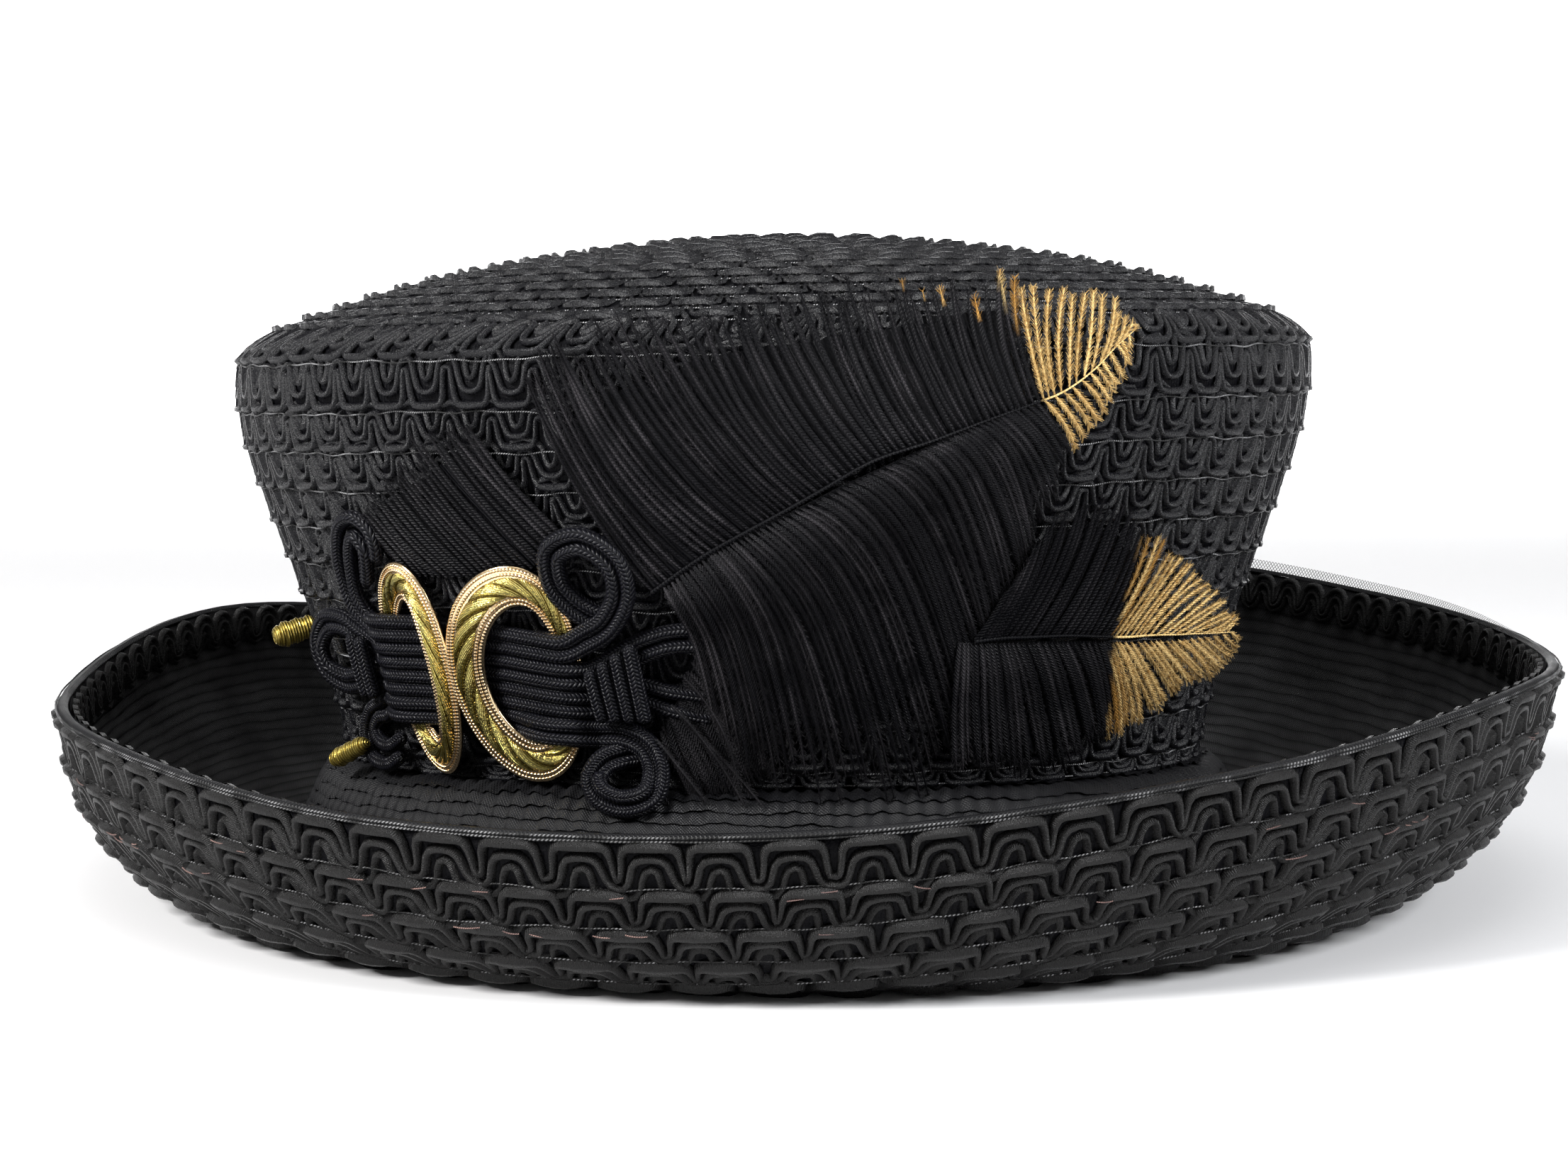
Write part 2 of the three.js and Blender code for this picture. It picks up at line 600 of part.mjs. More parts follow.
const BRAID_LOOK = { color: 0x0b0b0d, roughness: 0.55, metalness: 0 };
const NET_LOOK = { color: 0x0a0a0a, roughness: 0.6, metalness: 0 };
const CORD_LOOK = { color: 0x08080b, roughness: 0.45, metalness: 0 };
const FEATHER_LOOK = { color: 0x07070c, roughness: 0.7, metalness: 0 };
const GILT_LOOK = { color: 0xc9a227, roughness: 0.3, metalness: 1 };
const STEEL_LOOK = { color: 0xc4c6c8, roughness: 0.25, metalness: 1 };

addPiece('crown', crownGeometry(), BRAID_LOOK);
addPiece('brim', brimGeometry(), BRAID_LOOK);
addPiece('brim_facing', facingGeometry(), NET_LOOK);
addPiece('inner_rim_row', innerRowGeometry(), BRAID_LOOK);
Object.entries(cordStations()).forEach(([name, stations]) => {
  addPiece(name, cordGeometry(stations, CORD_RADIUS), CORD_LOOK);
});
Object.entries(WRAPS).forEach(([name, wrap]) => {
  addPiece(name, cordGeometry(wrapStations(wrap), CORD_RADIUS), CORD_LOOK);
});
addPiece('buckle', await joined(SLIDE_RINGS.map(slideRing)), GILT_LOOK);
Object.entries(GILT_ENDS).forEach(([name, end]) => {
  addPiece(name, giltEndGeometry(end), GILT_LOOK);
});
Object.entries(FEATHERS).forEach(([name, rows]) => {
  addPiece(name, featherGeometry(rows), FEATHER_LOOK);
});
addPiece('pin', cordGeometry(PIN_ROUTE, PIN_RADIUS), STEEL_LOOK);

// The origin is on the resting surface, under the middle of the hat's box.
const box = new THREE.Box3().setFromObject(hat);
hat.position.set(-(box.min.x + box.max.x) / 2, -(box.min.y + box.max.y) / 2, -box.min.z);

export default hat;
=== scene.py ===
# A dress hat of sewn black braid with a rolled brim, a cord ornament in a gilt slide, and
# feathers with gilded tips. The hat's sizes are in millimetres and become metres in each mesh.
# A "turn" is an angle round the crown in degrees: 0 is the middle of the trimmed side, 90 the back.

import math

import bmesh
import bpy
import numpy as np
from mathutils import Matrix, Vector


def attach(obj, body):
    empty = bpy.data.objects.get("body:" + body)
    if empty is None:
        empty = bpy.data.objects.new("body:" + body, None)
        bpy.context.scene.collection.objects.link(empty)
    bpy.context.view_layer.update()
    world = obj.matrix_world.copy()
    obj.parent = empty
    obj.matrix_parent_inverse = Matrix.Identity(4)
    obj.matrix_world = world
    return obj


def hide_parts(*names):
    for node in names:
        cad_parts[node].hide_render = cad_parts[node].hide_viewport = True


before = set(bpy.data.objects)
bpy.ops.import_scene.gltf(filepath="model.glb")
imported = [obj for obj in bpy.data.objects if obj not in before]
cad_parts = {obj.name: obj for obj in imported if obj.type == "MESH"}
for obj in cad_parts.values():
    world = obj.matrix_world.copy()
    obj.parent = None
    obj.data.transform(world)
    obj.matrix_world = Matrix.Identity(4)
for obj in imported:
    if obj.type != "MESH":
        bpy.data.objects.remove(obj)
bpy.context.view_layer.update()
seed = np.random.default_rng(11)
MM = 0.001

# The hat's form
# Crown rows, measured from the headline up its own axis: up, half length, half width
CROWN_ROWS = [
    (0, 102.5, 85.5), (20, 107, 90), (40, 113.5, 96.5), (60, 121, 104), (76, 126.5, 109.5),
    (89, 128.6, 111.6), (96, 128, 111), (101.5, 122.5, 106), (108.8, 103, 89),
    (114.8, 81, 70), (119.4, 53, 46), (122.2, 26, 22.5), (123, 0, 0),
]
TOP_ROW = len(CROWN_ROWS) - 1
SIDE_TOP_ROW = 5
SIDE_TOP_UP = 89
CROWN_SHIFT = -2.5
BACK_RISE = 0.021
CROWN_LEAN = math.radians(3)
HEADLINE_HEIGHT = 31.5
HAT_PLACE = np.array([-5.5, -1.0, 0.0])
# The brim: half length, half width, shift in X, shift in Y
FOOT = (128.5, 122, -1, -1)
FOOT_HALF_BREADTH = 5
RIM = (179.5, 159, 5.5, 1)
# Rim height and the net's height above it, every 30 degrees from turn 0
RIM_HEIGHTS = [38.5, 47.5, 55.5, 55, 59, 64, 57, 49.5, 56, 46.5, 44, 37.5]
NET_ABOVE = [1, 3, 1.5, 1, 3.5, 3.5, 2.5, 1.5, 1, 1, 1, 1]
SLOPE_ROWS = [(0.33, 0.6), (0.7, 0.2)]
WALL_ROWS = [(0.36, 0.07), (0.68, 0.27), (0.9, 0.58), (1, 1)]
COLLAR = {"inside": 3.4, "outside": 1.2, "drop": 4.1}


def eased(a, b, leave, arrive, t):
    """A curve from one place to the next, with the directions in which it leaves and arrives."""
    bend = (3 * (b - a) - 2 * leave - arrive) * t ** 2
    return a + leave * t + bend + (2 * (a - b) + leave + arrive) * t ** 3


def centripetal(points, spans):
    """Points along a smooth curve through the given ones, with so many spans between each pair."""
    p = np.asarray(points, float)
    ends = [2 * p[0] - p[1]], [2 * p[-1] - p[-2]]
    q = np.concatenate([ends[0], p, ends[1]])
    gap = np.maximum(np.linalg.norm(np.diff(q, axis=0), axis=1), 1e-6) ** 0.5
    t = (np.arange(spans) / spans)[:, None]
    stretches = []
    for i in range(1, len(q) - 2):
        g0, g1, g2 = gap[i - 1:i + 2]
        a, b, c, d = q[i - 1:i + 3]
        m1 = ((b - a) / g0 - (c - a) / (g0 + g1) + (c - b) / g1) * g1
        m2 = ((c - b) / g1 - (d - b) / (g1 + g2) + (d - c) / g2) * g1
        stretches.append(eased(b, c, m1, m2, t))
    return np.concatenate([*stretches, p[-1:]])


def unit(v):
    return v / np.maximum(np.linalg.norm(v, axis=-1, keepdims=True), 1e-9)


def blend(a, b, share):
    return a + (b - a) * share


def lengths(path):
    """How far along a path each of its points lies."""
    return np.concatenate([[0], np.cumsum(np.linalg.norm(np.diff(path, axis=0), axis=1))])


profile = centripetal([(length, width, up) for up, length, width in CROWN_ROWS], 60)
profile_row = np.linspace(0, TOP_ROW, len(profile))
mean_out = (profile[:, 0] + profile[:, 1]) / 2
steps_down = np.hypot(np.diff(mean_out), np.diff(profile[:, 2]))[::-1]
from_top = np.concatenate([[0], np.cumsum(steps_down)])
CROWN_REACH = from_top[-1]


def crown_face(turn, row):
    """A place on the crown's outer face. Row 0 is the headline and the last row the tip's middle."""
    a = np.radians(turn)
    length, width, up = (np.interp(row, profile_row, profile[:, k]) for k in range(3))
    x, y = CROWN_SHIFT + length * np.sin(a), -width * np.cos(a)
    z = up + BACK_RISE * x * np.minimum(up / SIDE_TOP_UP, 1)
    c, s = math.cos(CROWN_LEAN), math.sin(CROWN_LEAN)
    return np.stack([x, y * c + z * s, HEADLINE_HEIGHT + z * c - y * s], -1) + HAT_PLACE


def crown_normal(turn, row):
    row = np.clip(row, 0, TOP_ROW - 0.12)
    across = crown_face(turn + 1, row) - crown_face(turn - 1, row)
    return unit(np.cross(across, crown_face(turn, row + 0.05) - crown_face(turn, row - 0.05)))


def crown_at(turn, down):
    """Place and outward direction on the crown, by turn and distance down from the tip's middle."""
    row = np.interp(down, from_top, profile_row[::-1])
    return crown_face(turn, row), crown_normal(turn, row)


def round_table(values, turn):
    """Reads a table whose values stand evenly round the hat."""
    v = np.array(values, float)
    n = len(v)
    place = np.mod(turn, 360) / (360 / n)
    i = np.floor(place).astype(int) % n
    t = place - np.floor(place)
    a, b, c, d = v[i - 1], v[i], v[(i + 1) % n], v[(i + 2) % n]
    return eased(b, c, (c - a) / 2, (d - b) / 2, t)


# The brim as a table of places: every third degree round, every half millimetre from the rim
BRIM_TURN_STEP = 3
BRIM_DOWN_STEP = 0.5
BRIM_TABLE_DEPTH = 140
RIM_STEPS = 8


def brim_profile(turn):
    """The brim's under face at one turn, from the rim down and in to the headline."""
    def oval(length, width, shift_x, shift_y, height):
        a = math.radians(turn)
        return np.array([shift_x + length * math.sin(a), shift_y - width * math.cos(a), height])

    def leant(p):
        z = p[2] + BACK_RISE * p[0] * min(p[2] / SIDE_TOP_UP, 1)
        c, s = math.cos(CROWN_LEAN), math.sin(CROWN_LEAN)
        return np.array([p[0], p[1] * c + z * s, HEADLINE_HEIGHT + z * c - p[1] * s])

    _, length, width = CROWN_ROWS[0]
    collar = [leant(oval(length + by, width + by, CROWN_SHIFT, 0, -COLLAR["drop"]))
              for by in (-COLLAR["inside"], COLLAR["outside"])]
    foot = [oval(FOOT[0] + by, FOOT[1] + by, FOOT[2], FOOT[3], 0)
            for by in (-FOOT_HALF_BREADTH, FOOT_HALF_BREADTH)]
    rim = oval(*RIM, float(round_table(RIM_HEIGHTS, turn)))

    def between(a, b, out, up):
        p = blend(a, b, out)
        p[2] = blend(min(a[2], b[2]), max(a[2], b[2]), up)
        return p

    slope = [between(collar[1], foot[0], *row) for row in SLOPE_ROWS]
    wall = [between(foot[1], rim, *row) for row in WALL_ROWS]
    line = centripetal([*collar, *slope, *foot, *wall], 24)[::-1] + HAT_PLACE
    line[:, 2] = np.maximum(line[:, 2], 0)
    return line


def brim_table():
    rows = []
    for turn in range(0, 360, BRIM_TURN_STEP):
        line = brim_profile(turn)
        along = lengths(line)
        down = np.arange(0, BRIM_TABLE_DEPTH, BRIM_DOWN_STEP)
        rows.append(np.stack([np.interp(down, along, line[:, k]) for k in range(3)], -1))
        brim_reach.append(along[-1])
    return np.array(rows)


brim_reach = []
brim_places = brim_table()
brim_across = np.roll(brim_places, -1, 0) - np.roll(brim_places, 1, 0)
brim_down = np.gradient(brim_places, axis=1)
brim_down[np.linalg.norm(brim_down, axis=2) < 1e-6] = (0, 0, 1e-3)
brim_normals = unit(np.cross(brim_across, -brim_down))


def brim_at(turn, down):
    """Place and outward direction on the brim's under face, by turn and distance from the rim."""
    a = np.mod(turn, 360) / BRIM_TURN_STEP
    b = np.clip(down / BRIM_DOWN_STEP, 0, brim_places.shape[1] - 1.001)
    i, j = np.floor(a).astype(int) % len(brim_places), np.floor(b).astype(int)
    ta, tb = (a - np.floor(a))[..., None], (b - j)[..., None]
    i2 = (i + 1) % len(brim_places)

    def read(table):
        low = blend(table[i, j], table[i2, j], ta)
        return blend(low, blend(table[i, j + 1], table[i2, j + 1], ta), tb)

    rise = unit(read(brim_places) - blend(brim_places[i, RIM_STEPS], brim_places[i2, RIM_STEPS], ta))
    above = np.where(down < 0, -down, 0)[..., None] * rise
    return read(brim_places) + above, unit(read(brim_normals))


# The trimmed side: along, up and lift in millimetres, as the pieces of the ornament are placed
ALONG_LEVEL = 3.0
SIDE_TURN = 120
side_turns = np.arange(-SIDE_TURN, SIDE_TURN + 1.0)
side_line = crown_face(side_turns, np.full(len(side_turns), ALONG_LEVEL))
side_along = lengths(side_line)
side_along -= side_along[SIDE_TURN]
side_rows = profile_row <= SIDE_TOP_ROW


def side_at(along, up, lift):
    """A place on the trimmed side. Above the crown's edge it goes straight on."""
    along, up, lift = (np.asarray(v, float) for v in (along, up, lift))
    turn = np.interp(along, side_along, side_turns)
    level = np.clip(up, 1, SIDE_TOP_UP)
    row = np.interp(level, profile[side_rows, 2], profile_row[side_rows])
    place = crown_face(turn, row)
    rise = unit(crown_face(turn, row) - crown_face(turn, row - 0.05))
    return place + rise * (up - level)[..., None] + crown_normal(turn, row) * lift[..., None]


def side_out(along, up):
    """Outward direction at a place on the trimmed side."""
    return unit(side_at(along, up, np.ones(np.shape(along))) - side_at(along, up, np.zeros(np.shape(along))))


# Building meshes
class Threads:
    """Strips of cord, thread or barb, gathered into one mesh."""

    def __init__(self):
        self.points, self.faces, self.marks, self.count = [], [], [], 0
        self.gilt, self.tone = [], []

    def add(self, grid, ring=False, tube=False, gilt=0.0, tone=1.0):
        """Adds a grid of points. A ring joins its last row to its first, a tube its two sides."""
        n, m, _ = grid.shape
        length = lengths(grid[:, m // 2])
        rows = n if ring else n - 1
        cols = m if tube else m - 1
        i, j = np.meshgrid(np.arange(rows), np.arange(cols), indexing="ij")
        i2, j2 = (i + 1) % n, (j + 1) % m
        corner = np.stack([i * m + j, i * m + j2, i2 * m + j2, i2 * m + j], -1)
        step = length[-1] / max(n - 1, 1)
        far = np.append(length[1:], length[-1] + step)
        u1, u2 = length[i], far[i]
        v1, v2 = j / cols, (j + 1) / cols
        marks = np.stack([np.stack([u1, u1, u2, u2], -1), np.stack([v1, v2, v2, v1], -1)], -1)
        self.marks.append(marks.reshape(-1, 2))
        self.points.append(grid.reshape(-1, 3))
        self.faces.append(corner.reshape(-1, 4) + self.count)
        self.gilt.append(np.broadcast_to(gilt, (n, m)).ravel())
        self.tone.append(np.broadcast_to(tone, (n, m)).ravel())
        self.count += n * m

    def add_quads(self, quads, gilt, tone):
        """Adds loose four-cornered pieces, each from its foot to its tip."""
        n = len(quads)
        self.points.append(quads.reshape(-1, 3))
        self.faces.append(np.arange(4 * n).reshape(n, 4) + self.count)
        self.marks.append(np.tile([(0, 0.3), (0, 0.7), (1, 0.6), (1, 0.4)], (n, 1)))
        self.gilt.append(np.repeat(gilt, 4))
        self.tone.append(np.full(4 * n, tone))
        self.count += 4 * n

    def piece(self, name, material, slot, *nodes):
        """Makes the mesh, with nothing below the table that the hat rests on."""
        points = np.concatenate(self.points) * MM
        points[:, 2] = np.maximum(points[:, 2], 0)
        faces = np.concatenate(self.faces)
        mesh = bpy.data.meshes.new(name)
        mesh.vertices.add(len(points))
        mesh.vertices.foreach_set("co", points.astype(np.float32).ravel())
        mesh.loops.add(faces.size)
        mesh.loops.foreach_set("vertex_index", faces.astype(np.int32).ravel())
        mesh.polygons.add(len(faces))
        mesh.polygons.foreach_set("loop_start", np.arange(0, faces.size, 4, dtype=np.int32))
        mesh.update(calc_edges=True)
        mesh.shade_smooth()
        marks = mesh.uv_layers.new(name="thread")
        marks.data.foreach_set("uv", np.concatenate(self.marks).astype(np.float32).ravel())
        for mark, values in (("gilt", self.gilt), ("tone", self.tone)):
            kept = mesh.attributes.new(mark, "FLOAT", "POINT")
            kept.data.foreach_set("value", np.concatenate(values).astype(np.float32))
        return placed(bpy.data.objects.new(name, mesh), material, slot, *nodes)


def placed(obj, material, slot, *nodes):
    """Puts a finished piece on the hat, with its look, and hides the plain solids it stands for."""
    bpy.context.scene.collection.objects.link(obj)
    obj.data.materials.append(material)
    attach(obj, "root")
    if nodes:
        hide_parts(*nodes)
    return obj


def shaped(form, name):
    """Makes an object of a form built with mesh operators."""
    mesh = bpy.data.meshes.new(name)
    form.to_mesh(mesh)
    form.free()
    mesh.shade_smooth()
    return bpy.data.objects.new(name, mesh)


# A cord's section: share of its width across and of its height up, full and with fewer faces
FULL_SECTION = [(0.5, -0.3), (0.2, 1), (-0.2, 1), (-0.5, -0.3)]
THIN_SECTION = [(0.5, -0.3), (0, 1.1), (-0.5, -0.3)]


def half_round(path, out, width, height, ring=True, thin=False):
    """A cord laid on a face: a low rounded strip along a path, open underneath."""
    if ring:
        ahead = np.roll(path, -1, 0) - np.roll(path, 1, 0)
    else:
        ahead = np.gradient(path, axis=0)
    side = unit(np.cross(out, ahead))
    across, up = np.array(THIN_SECTION if thin else FULL_SECTION).T[:, None, :, None]
    width = np.reshape(width, (-1, 1, 1))
    height = np.reshape(height, (-1, 1, 1))
    return path[:, None] + side[:, None] * across * width + out[:, None] * up * height


def tube(path, radius, sides, start=None):
    """A round cord along an open path. The radius may change along it."""
    ahead = unit(np.gradient(path, axis=0))
    side = np.cross(ahead[0], (0, 0, 1) if start is None else start)
    frames = []
    for direction in ahead:
        side = side - direction * np.dot(side, direction)
        side = side / np.linalg.norm(side)
        frames.append(side)
    side = np.array(frames)
    other = np.cross(ahead, side)
    a = np.linspace(0, 2 * np.pi, sides, endpoint=False)
    round_it = side[:, None] * np.cos(a)[None, :, None] + other[:, None] * np.sin(a)[None, :, None]
    radius = np.asarray(radius, float)
    return path[:, None] + round_it * (radius[:, :, None] if radius.ndim == 2 else radius[:, None, None])


def resample(path, step):
    """The same path with points at even steps."""
    along = lengths(path)
    count = max(2, int(math.ceil(along[-1] / step)) + 1)
    where = np.linspace(0, along[-1], count)
    return np.stack([np.interp(where, along, path[:, k]) for k in range(3)], -1)


# Looks
NOISE_SPREAD = (0.3, 0.7)


def look(name, colour, roughness, metallic=0.0, gloss=0.25):
    material = bpy.data.materials.new(name)
    material.use_nodes = True
    shade = material.node_tree.nodes["Principled BSDF"]
    shade.inputs["Base Color"].default_value = (*colour, 1)
    shade.inputs["Roughness"].default_value = roughness
    shade.inputs["Metallic"].default_value = metallic
    shade.inputs["Specular IOR Level"].default_value = gloss
    return material


class Nodes:
    """Short words for the nodes of one look."""

    def __init__(self, material):
        self.material = material
        self.tree = material.node_tree
        self.shade = self.tree.nodes["Principled BSDF"]

    def link(self, value, socket):
        if hasattr(value, "default_value"):
            self.tree.links.new(value, socket)
        else:
            socket.default_value = value

    def math(self, operation, *values):
        node = self.tree.nodes.new("ShaderNodeMath")
        node.operation = operation
        for value, socket in zip(values, node.inputs):
            self.link(value, socket)
        return node.outputs[0]

    def times(self, a, b):
        return self.math("MULTIPLY", a, b)

    def times_plus(self, a, b, c):
        return self.math("MULTIPLY_ADD", a, b, c)

    def power(self, a, b):
        return self.math("POWER", a, b)

    def half_wave(self, value, count=1.0):
        """Rises and falls once while the value grows by one over the count."""
        return self.math("SINE", self.times(value, math.pi * count))

    def waves(self, value, length):
        turned = self.times_plus(value, 2 * math.pi / length, 0.0)
        return self.times_plus(self.math("SINE", turned), 0.5, 0.5)

    def marks(self):
        """The thread's own measure: millimetres along it and a share across it."""
        node = self.tree.nodes.new("ShaderNodeUVMap")
        node.uv_map = "thread"
        parts = self.tree.nodes.new("ShaderNodeSeparateXYZ")
        self.tree.links.new(node.outputs[0], parts.inputs[0])
        return parts.outputs[0], parts.outputs[1]

    def noise(self, scale, detail):
        node = self.tree.nodes.new("ShaderNodeTexNoise")
        place = self.tree.nodes.new("ShaderNodeTexCoord").outputs["Object"]
        self.tree.links.new(place, node.inputs["Vector"])
        node.inputs["Scale"].default_value = scale
        node.inputs["Detail"].default_value = detail
        return node.outputs["Fac"]

    def mix(self, share, a, b):
        node = self.tree.nodes.new("ShaderNodeMix")
        node.data_type = "RGBA"
        for value, socket in zip((share, a, b), (node.inputs[0], node.inputs[6], node.inputs[7])):
            self.link((*value, 1) if isinstance(value, tuple) else value, socket)
        return node.outputs[2]

    def between(self, value, low, high, to_low=0.0, to_high=1.0):
        node = self.tree.nodes.new("ShaderNodeMapRange")
        for v, socket in zip((value, low, high, to_low, to_high), node.inputs):
            self.link(v, socket)
        return node.outputs[0]

    def attribute(self, name):
        node = self.tree.nodes.new("ShaderNodeAttribute")
        node.attribute_name = name
        return node.outputs["Fac"]

    def bump(self, height, distance, strength):
        node = self.tree.nodes.new("ShaderNodeBump")
        node.inputs["Strength"].default_value = strength
        node.inputs["Distance"].default_value = distance * MM
        self.tree.links.new(height, node.inputs["Height"])
        self.tree.links.new(node.outputs[0], self.shade.inputs["Normal"])

    def colour(self, value):
        self.link(value, self.shade.inputs["Base Color"])

    def rough(self, noise, sheerest, dullest):
        self.link(self.between(noise, *NOISE_SPREAD, sheerest, dullest), self.shade.inputs["Roughness"])


def wrapped_cord_look(name, dark, light, rib, gloss, sheerest=0.28, dullest=0.46):
    """Rayon thread wound round a core: fine ribs across the cord, with a soft gloss."""
    n = Nodes(look(name, dark, 0.36, gloss=gloss))
    along, across = n.marks()
    ribs = n.waves(n.times_plus(across, rib * 0.9, along), rib)
    fine, broad = n.noise(scale=2600, detail=4), n.noise(scale=90, detail=3)
    n.colour(n.mix(n.times_plus(fine, 0.5, n.times(broad, 0.5)), dark, light))
    n.rough(fine, sheerest, dullest)
    n.bump(n.times_plus(fine, 3.0, ribs), distance=0.08, strength=0.9)
    return n.material


def plait_look(name, dark, light, columns, stitch):
    """A braided tube: slanted strands in columns round the cord, leaning by turns each way, with painted shade
    in the hollows between strands and a lighter colour on their crests.
    """
    n = Nodes(look(name, dark, 0.38, gloss=0.22))
    along, across = n.marks()
    column = n.times(across, float(columns))
    within = n.math("FRACT", column)
    lean = n.times_plus(n.math("MODULO", n.math("FLOOR", column), 2.0), 2.0, -1.0)
    slant = n.times(n.times(within, lean), stitch * PLAIT_SLANT)
    strand = n.math("ABSOLUTE", n.half_wave(n.math("ADD", along, slant), 1 / stitch))
    height = n.power(n.times(strand, n.power(n.half_wave(within), 0.6)), 0.7)
    fine = n.noise(scale=3000, detail=3)
    # Painted shade: the colour runs from dark in the strands' hollows to light on their crests.
    n.colour(n.mix(n.times(height, n.between(fine, 0.2, 0.8)), dark, light))
    n.rough(fine, 0.3, 0.46)
    n.bump(n.times_plus(fine, 0.15, height), distance=0.3, strength=1.0)
    return n.material


def stitch_look(name, thread, gap, length):
    """A twisted thread: short pale slanted marks, painted highlights on its twists, with dark gaps of painted
    shade between them, shown in random patches.
    """
    n = Nodes(look(name, thread, 0.45))
    along, across = n.marks()
    dash = n.waves(n.times_plus(across, length * 0.5, along), length)
    patch = n.noise(scale=140, detail=2)
    # Painted light: the pale thread colour gives the highlights on the twists, the gap colour the shade
    # between them.
    n.colour(n.mix(n.times(n.between(dash, 0.45, 0.65), n.between(patch, 0.42, 0.62)), gap, thread))
    n.bump(dash, distance=0.12, strength=0.8)
    return n.material


def net_look(name, dark, light, mesh_size, width, open_share=None):
    """Fine net woven on the slant. An open one lets light through between its threads. A closed one is painted
    darker toward each strip's folded edges and where the tone mark is low, as painted shade.
    """
    n = Nodes(look(name, dark, 0.5, gloss=0.22))
    along, share = n.marks()
    across = n.times(share, width)
    one, two = (n.waves(n.math(way, along, across), mesh_size) for way in ("ADD", "SUBTRACT"))
    thread = n.math("MAXIMUM", one, two)
    patch = n.noise(scale=60, detail=4)
    # Painted shade: each strip is lighter along its middle and darker toward its folded edges.
    fold = n.power(n.half_wave(share), 0.8)
    if open_share is None:
        weave = n.times_plus(n.power(thread, 3.0), 0.6, 0.4)
        # The tone mark adds painted shade, darkening the net facing near the crown's foot.
        shown = n.times(n.times(weave, n.times(patch, fold)), n.attribute("tone"))
    else:
        shown = patch
        n.link(n.between(thread, open_share - 0.03, open_share + 0.03), n.shade.inputs["Alpha"])
    n.colour(n.mix(shown, dark, light))
    n.rough(patch, 0.38, 0.6)
    n.bump(n.times_plus(fold, 2.0, thread), distance=0.12, strength=0.8)
    return n.material


def barb_look(name, dark, light, gold, gold_highlight):
    """Feather barbs: fine slanted fibres, black, or gilded where the mark says so. Black barbs carry a painted
    highlight along their middles in random streaks, scaled by the tone mark; gilded ones carry painted glints.
    """
    n = Nodes(look(name, dark, 0.5, gloss=0.12))
    along, across = n.marks()
    spread = n.math("ABSOLUTE", n.math("SUBTRACT", across, 0.5))
    fibre = n.waves(n.times_plus(spread, 1.6, along), 0.8)
    fine, broad = n.noise(scale=1400, detail=4), n.noise(scale=110, detail=3)
    # Painted highlight: lighter along each barb's middle, fading toward its edges.
    ridge = n.times(n.between(spread, 0.35, 0.05), n.times_plus(fibre, 0.7, 0.3))
    streaked_highlight = n.times(n.between(broad, *NOISE_SPREAD), ridge)
    black = n.mix(n.times(streaked_highlight, n.attribute("tone")), dark, light)
    # Painted glints on the gold, from the gold colour toward the highlight colour.
    glint = n.times(n.between(fine, 0.25, 0.65), n.times_plus(fibre, 0.4, 0.75))
    shine = n.mix(n.times(glint, n.attribute("tone")), gold, gold_highlight)
    gilt = n.attribute("gilt")
    n.colour(n.mix(gilt, black, shine))
    n.link(n.times(gilt, 0.35), n.shade.inputs["Metallic"])
    n.rough(fine, 0.36, 0.55)
    n.bump(n.math("ADD", fibre, fine), distance=0.14, strength=0.9)
    return n.material


def bright_metal_look(name, colour, deep, roughness, grain, depth):
    """Bright metal with a fine grain, mixed toward its deep colour where the gilt mark is low, as painted
    shade in its hollows and underneath.
    """
    n = Nodes(look(name, colour, roughness, metallic=1.0, gloss=0.5))
    fine = n.noise(scale=grain, detail=5)
    # Painted shade: the gilt mark here says how lit each place is, not how gilded.
    n.colour(n.mix(n.between(n.attribute("gilt"), 0.1, 0.75), deep, colour))
    n.rough(fine, roughness * 0.7, roughness * 1.4)
    n.bump(fine, depth, strength=0.8)
    return n.material


def spun_look(name, colour, deep, threads_in_strand):
    """Rope strands spun of fine gold thread, which runs along each strand. Painted shade darkens the hollows
    between strands, the rope's edges and the gaps between the fine threads.
    """
    n = Nodes(look(name, colour, 0.24, metallic=1.0, gloss=0.5))
    threads = n.waves(n.attribute("tone"), 1 / threads_in_strand)
    fine = n.noise(scale=1500, detail=4)
    broken = n.times_plus(n.between(fine, *NOISE_SPREAD), 0.5, n.times(threads, 0.5))
    # Painted shade: the gilt mark is low in the hollows between strands and toward the rope's edges.
    hollow = n.between(n.attribute("gilt"), 0.1, 0.85)
    n.colour(n.mix(n.times(hollow, n.times_plus(broken, 0.5, 0.5)), deep, colour))
    n.rough(fine, 0.1, 0.26)
    n.bump(broken, distance=0.2, strength=0.9)
    return n.material


def wound_look(name, colour, deep, pitch):
    """Gold thread wound close round a cord, with painted shade between its turns."""
    n = Nodes(look(name, colour, 0.32, metallic=0.85))
    along, across = n.marks()
    turns = n.waves(n.times_plus(across, pitch, along), pitch)
    fine = n.noise(scale=2500, detail=3)
    # Painted shade: darker in the grooves between the turns, varied at random.
    n.colour(n.mix(n.times(n.power(turns, 0.7), n.between(fine, 0.1, 0.7)), deep, colour))
    n.bump(n.times_plus(fine, 0.2, turns), distance=0.3, strength=1.0)
    return n.material


